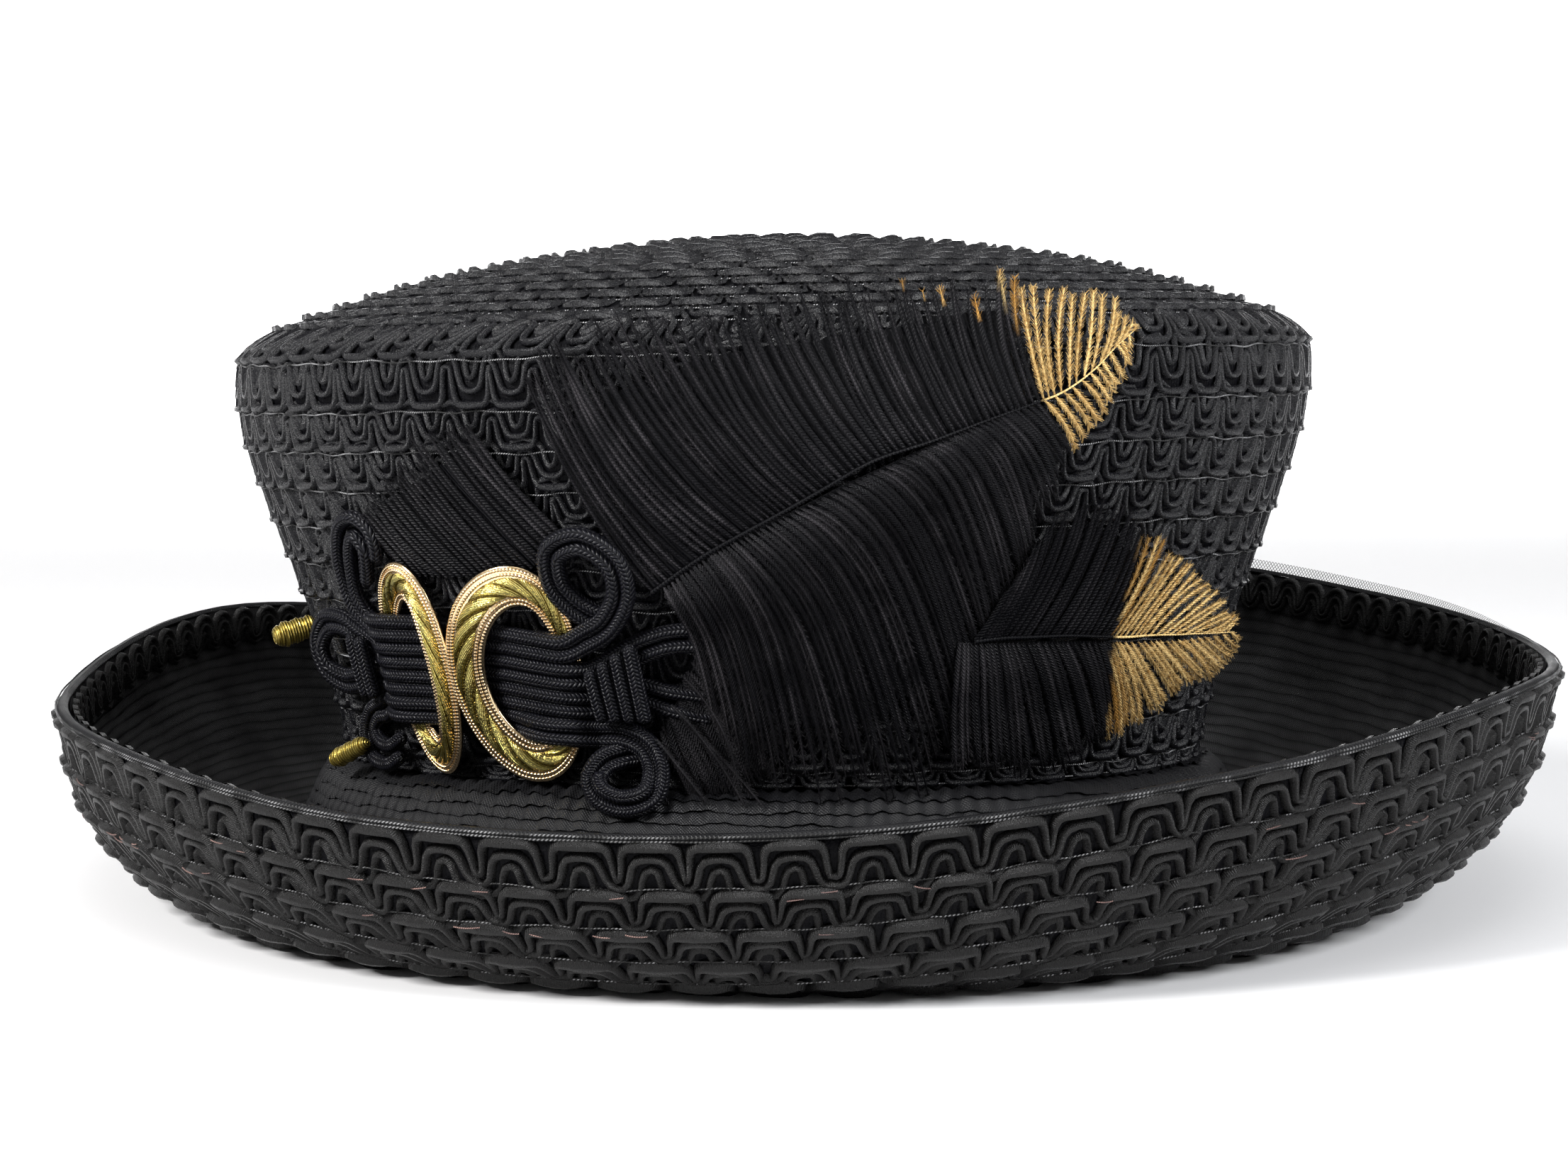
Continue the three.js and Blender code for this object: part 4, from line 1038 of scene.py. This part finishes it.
def slide():
    border, beads, rope = Threads(), Threads(), Threads()
    turns = np.linspace(0, 2 * np.pi, RING_STATIONS)
    around = np.linspace(0, 2 * np.pi, RING_SIDES, endpoint=False)[::-1]
    for ring in SLIDE_RINGS:
        turn, a = np.meshgrid(turns[:-1], around, indexing="ij")
        over = np.sin(a) > 0
        rise = np.where(over, *RIM_RISE) * np.sqrt(np.abs(np.sin(a)))
        # Painted shade on the border: the gilt mark is lowest underneath, higher on top and highest at the
        # sides.
        shown = np.where(over, 0.5 + 0.5 * np.abs(np.cos(a)), 0.3)
        border.add(ring_place(ring, turn, np.cos(a), rise), ring=True, tube=True, gilt=shown)
        turn, share = np.meshgrid(turns, np.linspace(1, -1, ROPE_SIDES), indexing="ij")
        strand = turn * ROPE_STRANDS / (2 * np.pi) + ROPE_TWIST * ROPE_HALF * share * ring[4]
        bulge = np.abs(np.sin(np.pi * strand)) ** 0.6
        dome = np.sqrt(1 - share ** 2)
        rise = ROPE_RISE["foot"] + dome * (ROPE_RISE["hollow"] + ROPE_RISE["strand"] * bulge)
        # The rope's gilt mark carries painted shade: low between strands and toward the rope's edges.
        rope.add(ring_place(ring, turn, ROPE_HALF * share, rise), gilt=bulge * (0.4 + 0.6 * dome), tone=strand)
        for across, rise in BEAD_LINES:
            line = resample(ring_place(ring, turns, across, np.full(len(turns), rise)), BEAD_STEP)[:-1]
            swell = np.abs(np.sin(np.arange(len(line)) * np.pi / BEAD_LENGTH))
            radius = BEAD_RADIUS["between"] + BEAD_RADIUS["more"] * swell
            # Painted shade between the beads: the gilt mark is low where they narrow.
            shown = (0.2 + 0.8 * swell)[:, None]
            beads.add(tube(line, radius, BEAD_SIDES, start=(0, -1, 0)), ring=True, tube=True, gilt=shown)
    border.piece("slide_rings", slide_edge_look, "gilt", "buckle")
    rope.piece("slide_rope", slide_rope_look, "gilt")
    beads.piece("slide_beads", slide_edge_look, "gilt")


# Cord ends wound with gold thread: root, tip, radius
GILT_ENDS = {
    "upper_gilt_end": ((-144, 33, 0.6), (-144, 33.6, 11.6), 3),
    "lower_gilt_end": ((-117.4, 7.6, 5.6), (-129.5, 3.3, 10), 2.3),
}
# Share of the length and of the radius
GILT_OUTLINE = [(0, 0.03), (0.03, 0.5), (0.16, 0.9), (0.75, 1), (0.93, 0.85), (1, 0.5), (1, 0.03)]
GILT_STATIONS = 91
GILT_SIDES = 28
GILT_WINDINGS = 9
GROOVE_DEPTH = 0.13
LUMPS = 0.06


def gilt_ends():
    outline = np.array(GILT_OUTLINE)
    steps, knots = np.linspace(0, 1, GILT_STATIONS), np.linspace(0, 1, len(outline))
    share, width = (np.interp(steps, knots, outline[:, k]) for k in (0, 1))
    around = np.linspace(0, 1, GILT_SIDES, endpoint=False)[None]
    groove = np.abs(np.sin(np.pi * (share[:, None] * GILT_WINDINGS + 2 * around)))
    lumps = LUMPS * np.sin(share[:, None] * 23 + 9 * around) * np.sin(2 * np.pi * around)
    section = width[:, None] * (1 - GROOVE_DEPTH * (1 - groove) + lumps)
    for name, (root, tip, radius) in GILT_ENDS.items():
        a, b = side_at(*root), side_at(*tip)
        path = blend(a[None], b[None], (share + steps * 1e-3)[:, None])
        end = Threads()
        end.add(tube(path, radius * section, GILT_SIDES), tube=True)
        end.piece(name + "_wound", gold_wound_look, "gold_thread", name)


# Feathers. Each barb is given by its root on the shaft, its middle and its tip, each as along
# and up, in order from the quill to the feather's tip.
FEATHERS = {
    "feather_upper": {
        "upper": [
            (-26.1, 45.6, -37, 61.9, -48.5, 87.5), (-14.1, 53.7, -29.5, 69.8, -41.9, 93.7),
            (-1, 60.9, -16.6, 77.1, -29.4, 97.6), (9, 66.7, -4.5, 81.8, -13.8, 100.8),
            (19.8, 72.8, 9.8, 86.4, 2.6, 102.7), (30.8, 76.2, 22.9, 89, 17.9, 105.3),
            (41.9, 80, 35, 92, 29.9, 106), (48.2, 82, 42.5, 93.2, 39.7, 107.1),
            (52.7, 83.4, 47.6, 94.4, 45.4, 106.8), (58.6, 85.4, 57.5, 95.5, 57.2, 105.6),
            (65.4, 89.5, 66.8, 96.7, 67, 104.2), (71, 94.7, 72.6, 98.2, 73.4, 101.3),
            (75, 97.7, 75.6, 98.6, 76, 99.5),
        ],
        "lower": [
            (-23.7, 47.1, -17.8, 34.9, -13.1, 10.9), (-14, 53.5, -5.2, 37.7, 3.3, 1.2),
            (-7.4, 57, 8.5, 37.5, 21.8, -2.5), (2.8, 61.9, 19.1, 44.2, 38.5, -1),
            (13.8, 67.6, 29.1, 52.1, 51, 8), (27, 73.5, 38.5, 62.5, 57, 27),
            (39.1, 78.7, 48.7, 70, 59, 52), (49, 82.4, 56.5, 75.9, 61.7, 70.3),
            (54.9, 83.8, 60.2, 78.8, 64.6, 73.9), (59.4, 85.5, 63.7, 81.6, 66.2, 78.1),
            (64.1, 88.3, 67.6, 84.8, 69.3, 82.7), (69.6, 94.1, 71.9, 90.7, 73.2, 88.2),
            (74.3, 97.7, 74.7, 96.7, 75.5, 95.6),
        ],
        "shaft_lift": [(-27, 5.2), (4, 4.9), (32, 4.3), (56, 3.3), (76, 2.2)],
        "upper_lift": [(-49, 4.2), (28, 4), (60, 3.4), (76, 2.4)],
        "lower_lift": [(-14, 5.2), (20, 6), (38, 4.6), (50, 2.4), (60, 2.2), (76, 2.2)],
        "gilt": (53.8, 83.4, 0.4, 0.93), "pitch": (1.6, 2.1), "width": 1.3, "reach": (1.0, 1.12), "roll": 2.4,
    },
    "feather_lower": {
        "upper": [
            (47.2, 33.1, 50.2, 38.1, 52.2, 43.5), (53.4, 33.6, 58.6, 46, 60.8, 59.3),
            (61.6, 33.6, 67.6, 48.4, 69.7, 63.8), (71.9, 33.5, 77, 45.4, 79.5, 60.8),
            (81, 32.9, 85.2, 42.4, 87.4, 53.3), (88.8, 32.4, 94.2, 42.4, 97.8, 50.7),
            (96.1, 32.7, 101.8, 39.6, 109.2, 44.7), (105.6, 32.9, 111.7, 36.6, 116.8, 40.1),
            (115, 33.4, 118.3, 35.4, 121.5, 37.1), (122.3, 34, 122.9, 34.5, 123.4, 35.1),
        ],
        "lower": [
            (43.6, 33, 43.6, 19.5, 45, 2.8), (49.3, 32.7, 52.7, 20.1, 56.5, 3),
            (55.3, 32.5, 61.5, 18.3, 67.1, 1.1), (63.6, 32.2, 72, 19.3, 80.4, 2.2),
            (72.3, 31.8, 81.1, 20.3, 86.9, 8.8),
            (81.5, 31.5, 89, 20, 92.5, 10.1), (89.2, 31.3, 97.7, 22.8, 103.9, 15.6),
            (96.6, 31.3, 104.5, 25.6, 110.3, 20.6), (106.1, 31.6, 113.4, 27.9, 119.5, 24.5),
            (115.2, 32.7, 120.4, 30.4, 124.2, 28.8), (122.3, 34, 123.5, 33.1, 124.8, 32),
        ],
        "shaft_lift": [(40, 3.6), (74, 3.4), (88, 3.2), (100, 4.5), (110, 6.2), (118, 8.4), (126, 10.6)],
        "upper_lift": [(40, 4), (74, 3.6), (88, 3.4), (100, 4.6), (110, 6.2), (118, 8.4), (126, 10.6)],
        "lower_lift": [(40, 4.4), (74, 4), (88, 3.6), (100, 4.8), (110, 6.4), (118, 8.4), (126, 10.6)],
        "gilt": (85.5, 33, 0.0, 0.2), "pitch": (1.7, 1.9), "width": 1.45, "reach": (0.94, 1.05), "roll": 0.6,
    },
    "feather_tuft": {
        "upper": [
            (-88, 47, -93.4, 54.2, -98.3, 62), (-77, 47, -85, 56.6, -92.2, 67.1),
            (-66, 47, -75.6, 58.6, -84, 71.7), (-56, 48, -66.8, 61, -76.1, 75.6),
            (-49.5, 53.5, -59.8, 66.6, -68.5, 81.5), (-45.5, 56.5, -54.4, 67.1, -62.3, 79.2),
        ],
        "lower": [],
        "shaft_lift": [(-98, 1.6), (-50, 1.6)], "upper_lift": [(-98, 2.2), (-50, 2.2)], "lower_lift": [],
        "gilt": (500, 0, 0, 0), "pitch": (1.8, 1.8), "width": 1.4, "reach": (0.93, 1.06), "roll": 0,
    },
}
# Gilded specks on the ends of single barbs: along at the tip and length
GILT_FLECKS = [(25.3, 2.2), (28.7, 2), (32.6, 4.2), (39.7, 6)]
FLECK_HALF = 0.75
GILT_FADE = 1.2
FLECK_FADE = 0.8
# A break in the lower barbs of the large feather, from one place to the other
BREAK = ((4.2, 47.2), (28.4, 58.7))
BREAK_DEPTH = 1.5
BREAK_FADE = 2.5
# Loose quills under the cords: root, middle and end, each as along and up
QUILLS = [
    (-24, 20, -14, 9, -5, -5), (-22, 17, -10, 6, 2, -7), (-28, 12, -20, 3, -12, -6), (-33, 8, -27, 0, -22, -7),
    (-52, -1, -47, -6, -40, -11), (-50, -2, -43, -7, -33, -10), (-20, 26, -12, 15, -8, 2),
]
QUILL = {"lifts": (4.6, 7), "width": 0.7, "tone": 1.2}
# Dark quills behind them, in a fan from one side to the other: root, middle and end
DOWN_QUILLS = 26
DOWN_FAN = [((-27, 14), (-17, 33)), ((-23, 5), (-9, 21)), ((-19, -3), (1, 3))]
DOWN_QUILL = {"lifts": (2.2, 3.2), "width": 1.5, "tones": (0.2, 1.3)}
BARB_STATIONS = 14
BARB_RIDGE = 0.42
# Share of a barb's length and of its width
BARB_TAPER = [(0, 0.6), (0.12, 1), (0.85, 0.8), (1, 0.15)]
BARBULE_TAPER = [(0, 0.8), (0.9, 1), (1, 0.6)]
BARBULE_PITCH = {"black": 0.24, "gilded": 0.13}
BARBULE_LENGTH = (1.3, 2.2)
BARBULE_SPREAD = 0.68
BARBULE_FOOT = 0.13
BARBS_IN_CLUMP = 4
CLUMP_SPREAD = 1.1
TIP_SPREAD, MIDDLE_SPREAD = 0.7, 0.4
BARB_ARCH = (-0.15, 0.5)
BARB_REACH = {"gilded": (0.99, 1.06), "lower": (0.93, 1.03)}
BARB_TONES = [0.15, 0.4, 0.8, 1.6]
GILDED_TONE = (0.75, 1.1)
ROLL_FADE = 25
# The close down under the barbs
DOWN_SHARE = 0.82
DOWN_LINES = 50
DOWN_POINTS = 12
DOWN_DEPTH = 0.7
DOWN_TONE = 0.2
# Shaft: lift over its table, radii, tone
SHAFT = {"lift": 0.45, "radii": (0.5, 0.12), "tone": 1.6}


def along_table(value, table):
    return np.interp(value, *np.array(table).T)


def gilding(build, name, line, side):
    """How far each place on a barb is gilded, from 0 to 1."""
    along, up, above, below = build["gilt"]
    edge = line[:, 0] + (above if side == "upper" else below) * (line[:, 1] - up)
    gilt = np.clip((edge - along) / GILT_FADE + seed.uniform(-0.4, 0.6), 0, 1)
    if name == "feather_upper" and side == "upper":
        for place, length in GILT_FLECKS:
            if abs(line[-1, 0] - place) < FLECK_HALF:
                to_tip = np.hypot(*(line[:, :2] - line[-1, :2]).T)
                gilt = np.maximum(gilt, np.clip((length - to_tip) / FLECK_FADE, 0, 1))
    return gilt


def through(a, b, c, t):
    """A curve through three places."""
    t = t[:, None]
    return a * (2 * t - 1) * (t - 1) + 4 * b * t * (1 - t) + c * t * (2 * t - 1)


def barb(threads, line, width, gilt, tone):
    """One barb with short barbules along both edges."""
    t = np.linspace(0, 1, len(line))
    place = side_at(*line.T)
    out = side_out(line[:, 0], line[:, 1])
    ahead = np.gradient(place, axis=0)
    across = unit(np.cross(out, ahead))
    half = across * (width * along_table(t, BARB_TAPER) * (1 - 0.5 * gilt))[:, None] * 0.5
    ridge = np.stack([place + half, place + out * BARB_RIDGE, place - half], 1)
    threads.add(ridge, gilt=gilt[:, None], tone=tone)
    pitch = BARBULE_PITCH["gilded" if gilt.mean() > 0.3 else "black"]
    count = int(np.linalg.norm(np.diff(place, axis=0), axis=1).sum() / pitch)
    s = np.sort(seed.uniform(0.03, 0.99, count))

    def at(values):
        return np.stack([np.interp(s, t, values[:, k]) for k in range(3)], -1)

    root, forward, sideways, outward = at(place), unit(at(ahead)), unit(at(across)), unit(at(out))
    hand = np.where(np.arange(count) % 2 == 0, 1.0, -1.0)[:, None]
    reach = (seed.uniform(*BARBULE_LENGTH, count) * along_table(s, BARBULE_TAPER))[:, None]
    away = unit(forward + sideways * hand * BARBULE_SPREAD) * reach
    away = away + outward * seed.uniform(-0.1, 0.4, (count, 1))
    foot = forward * BARBULE_FOOT * hand
    quads = np.stack([root - foot, root + foot, root + away + foot * 0.3, root + away - foot * 0.3], 1)
    threads.add_quads(quads, np.interp(s, t, gilt), tone)


def row_at(rows, where):
    """A barb's places part of the way from one row of a table to the next."""
    return np.array([np.interp(where, np.arange(len(rows)), values) for values in rows.T])


def barb_places(rows, pitch, gilt_from):
    """Where along a table of barbs each barb stands, closer or wider apart as their pitch says."""
    spread = (np.hypot(*np.diff(rows[:, 4:6], axis=0).T) + np.hypot(*np.diff(rows[:, :2], axis=0).T)) / 2
    far = np.concatenate([[0], np.cumsum(spread)])
    places, at = [], 0.3
    while at < far[-1]:
        where = np.interp(at, far, np.arange(len(rows)))
        places.append(where)
        at += pitch[1 if row_at(rows, where)[0] > gilt_from else 0] * seed.uniform(0.8, 1.2)
    return places


def lifts(build, side, row, t):
    """Lift along a barb, from its root on the shaft to its tip."""
    return blend(along_table(row[0], build["shaft_lift"]), along_table(row[4], build[side + "_lift"]), t)


def rolled(build, along, share):
    """The lower barbs stand up beside the shaft and roll over, less toward the gilded tip."""
    fade = np.clip((build["gilt"][0] - along) / ROLL_FADE, 0, 1)
    return build["roll"] * fade * np.sin(np.pi * np.clip(share / 0.5, 0, 1)) ** 0.8


def broken(line):
    """How far a break between the barbs sinks each place beyond it."""
    start, end = np.array(BREAK)
    size = np.hypot(*(end - start))
    over = (end - start) / size
    beyond = (line - start) @ np.array([over[1], -over[0]])
    beside = (line - start) @ over
    near = (beside > 0) & (beside < size)
    return BREAK_DEPTH * near * np.where(beyond > 0, np.exp(-beyond / BREAK_FADE), 0)


def down_under(threads, build, side, rows):
    """The close down under the barbs, which keeps the crown from showing through."""
    last = len(rows) - 1
    if build["gilt"][0] < rows[-1, 0]:
        last = np.interp(build["gilt"][0], rows[:, 0], np.arange(len(rows))) - 0.2
    lines = []
    for where in np.linspace(0, last, DOWN_LINES):
        row = row_at(rows, where)
        t = np.linspace(0, DOWN_SHARE * seed.uniform(0.97, 1.03), DOWN_POINTS)
        lift = lifts(build, side, row, np.linspace(0, 1, DOWN_POINTS)) - DOWN_DEPTH
        if side == "lower":
            lift = lift + rolled(build, row[0], np.linspace(0, DOWN_SHARE, DOWN_POINTS))
        lines.append(side_at(*through(row[:2], row[2:4], row[4:], t).T, lift))
    threads.add(np.array(lines[::-1] if side == "lower" else lines), tone=DOWN_TONE)


def barbs(threads, name, side):
    """The barbs on one side of a feather's shaft, each a little unlike its neighbour."""
    build = FEATHERS[name]
    rows = np.array(build[side], float)
    down_under(threads, build, side, rows)
    t = np.linspace(0, 1, BARB_STATIONS)
    for k, where in enumerate(barb_places(rows, build["pitch"], build["gilt"][0])):
        if k % BARBS_IN_CLUMP == 0:
            clump = seed.uniform(-CLUMP_SPREAD, CLUMP_SPREAD, 2)
        row = row_at(rows, where)
        tip = row[4:] + clump + seed.uniform(-TIP_SPREAD, TIP_SPREAD, 2)
        middle = row[2:4] + 0.4 * clump + seed.uniform(-MIDDLE_SPREAD, MIDDLE_SPREAD, 2)
        gilded = row[0] > build["gilt"][0]
        reach = BARB_REACH["gilded"] if gilded else build["reach"] if side == "upper" else BARB_REACH["lower"]
        line = through(row[:2], middle, tip, t * seed.uniform(*reach))
        lift = lifts(build, side, row, t) + seed.uniform(*BARB_ARCH) * np.sin(t * np.pi)
        lift = lift + seed.uniform(-0.1, 0.3)
        if side == "lower":
            lift = lift + rolled(build, row[0], t)
            if name == "feather_upper":
                lift = lift - broken(line)
        tone = seed.uniform(*GILDED_TONE) if gilded else seed.choice(BARB_TONES) * seed.uniform(0.7, 1.3)
        width = build["width"] * seed.uniform(0.75, 1.2)
        barb(threads, np.column_stack([line, lift]), width, gilding(build, name, line, side), tone)


def quills(threads):
    """The loose quills under the cords, and the dark ones behind them."""
    t = np.linspace(0, 1, BARB_STATIONS)
    for quill in np.array(QUILLS, float):
        line = through(quill[:2], quill[2:4], quill[4:], t)
        barb(threads, np.column_stack([line, blend(*QUILL["lifts"], t)]), QUILL["width"], 0 * t, QUILL["tone"])
    for share in np.linspace(0, 1, DOWN_QUILLS):
        places = [blend(*np.array(ends), share) + seed.uniform(-1, 1, 2) for ends in DOWN_FAN]
        lift = blend(*DOWN_QUILL["lifts"], t) + seed.uniform(0, 0.8)
        line = np.column_stack([through(*places, t), lift])
        barb(threads, line, DOWN_QUILL["width"], 0 * t, seed.uniform(*DOWN_QUILL["tones"]))


def shaft(threads, build):
    line = centripetal(np.array(build["upper"], float)[:, :2], 8)
    place = side_at(*line.T, along_table(line[:, 0], build["shaft_lift"]) + SHAFT["lift"])
    gilt = np.clip((line[:, 0] - build["gilt"][0]) / 1.5, 0, 1)[:, None]
    radii = np.linspace(*SHAFT["radii"], len(place))
    threads.add(tube(place, radii, 8), tube=True, gilt=gilt, tone=SHAFT["tone"])


def feather(name):
    threads = Threads()
    for side in ("upper", "lower"):
        if FEATHERS[name][side]:
            barbs(threads, name, side)
    if name == "feather_upper":
        quills(threads)
    if name != "feather_tuft":
        shaft(threads, FEATHERS[name])
    threads.piece(name + "_barbs", feather_look, "feather", name)


# Straight pin in the front loop: its two ends
PIN_ENDS = [(-127, 27.8, 3.4), (-112, 26.4, 2.6)]
PIN_RADIUS = 0.4


def pin():
    a, b = (Vector(side_at(*end) * MM) for end in PIN_ENDS)
    lie = Matrix.Translation((a + b) / 2) @ (b - a).to_track_quat("Z", "Y").to_matrix().to_4x4()
    wire = bmesh.new()
    bmesh.ops.create_cone(wire, cap_ends=True, segments=16, radius1=PIN_RADIUS * MM, radius2=PIN_RADIUS * MM,
                          depth=(b - a).length, matrix=lie)
    bmesh.ops.bevel(wire, geom=[e for e in wire.edges if any(len(f.verts) > 4 for f in e.link_faces)],
                    offset=0.3 * PIN_RADIUS * MM, segments=2, profile=0.5, affect="EDGES", material=-1)
    bright = wire.verts.layers.float.new("gilt")
    for v in wire.verts:
        v[bright] = 1.0
    placed(shaped(wire, "pin_wire"), pin_steel_look, "steel", "pin")


# Floor, light and camera, in metres but for the camera's place
FLOOR = {"half_width": 7, "depth": 9, "near": -3.5, "bend_at": 3.2, "bend": 1.4, "climb": 0.35}
PAPER = ((0.85, 0.85, 0.86), (0.88, 0.88, 0.885))
# name, place, target, size, power, colour
LAMPS = [
    ("left_light", (-1.15, -0.8, 0.95), (0, 0, 0.07), 0.5, 40, (1, 0.99, 0.98)),
    ("right_light", (1.2, -0.75, 0.9), (0, 0, 0.07), 0.6, 26, (0.97, 0.98, 1)),
    ("top_light", (0.0, -0.45, 1.5), (0, 0, 0.07), 0.9, 6, (1, 1, 1)),
    ("backdrop_light", (0.0, 2.9, 1.6), (0, 3.0, 0), 3.0, 150, (1, 1, 1)),
]
BACKDROP_SPREAD = 70
SKY_STRENGTH = 0.26
CAMERA_PLACE = (-5.5, -845.2, 163.9)
CAMERA_DOWN = 6.334
LENS = 80.88
FILM_WIDTH = 36
CAMERA_SEES = (0.02, 30)


def floor_paper():
    sweep = bmesh.new()
    bmesh.ops.create_grid(sweep, x_segments=2, y_segments=40, size=1)
    for v in sweep.verts:
        far = (v.co.y + 1) / 2 * FLOOR["depth"] + FLOOR["near"]
        rise = max(0, far - FLOOR["bend_at"])
        back = min(far, FLOOR["bend_at"]) + FLOOR["bend"] * math.tanh(rise / FLOOR["bend"])
        v.co = (v.co.x * FLOOR["half_width"], back, FLOOR["climb"] * rise ** 2)
    floor = shaped(sweep, "floor")
    bpy.context.scene.collection.objects.link(floor)
    n = Nodes(look("floor_paper", (0.86, 0.86, 0.87), 0.9))
    n.colour(n.mix(n.noise(scale=3, detail=2), *PAPER))
    floor.data.materials.append(n.material)


def studio():
    scene = bpy.context.scene
    for name, place, target, size, power, colour in LAMPS:
        lamp = bpy.data.lights.new(name, "AREA")
        lamp.size, lamp.energy, lamp.color = size, power, colour
        if name == "backdrop_light":
            lamp.spread = math.radians(BACKDROP_SPREAD)
        obj = bpy.data.objects.new(name, lamp)
        scene.collection.objects.link(obj)
        obj.location = place
        aim = np.array(target) - np.array(place)
        pitch = math.acos(-aim[2] / np.linalg.norm(aim))
        obj.rotation_euler = (pitch, 0, math.atan2(aim[1], aim[0]) - math.pi / 2)
    scene.world = bpy.data.worlds.new("studio")
    scene.world.use_nodes = True
    sky = scene.world.node_tree.nodes["Background"]
    sky.inputs[0].default_value = (1, 1, 1, 1)
    sky.inputs[1].default_value = SKY_STRENGTH
    camera = bpy.data.cameras.new("camera")
    camera.lens, camera.sensor_width = LENS, FILM_WIDTH
    camera.clip_start, camera.clip_end = CAMERA_SEES
    scene.camera = bpy.data.objects.new("camera", camera)
    scene.collection.objects.link(scene.camera)
    scene.camera.location = [v * MM for v in CAMERA_PLACE]
    scene.camera.rotation_euler = (math.radians(90 - CAMERA_DOWN), 0, 0)
    scene.view_settings.view_transform = "Standard"
    scene.view_settings.look = "None"


crown()
brim()
facing()
rim_edge()
cords()
slide()
gilt_ends()
for feather_name in FEATHERS:
    feather(feather_name)
pin()
floor_paper()
studio()
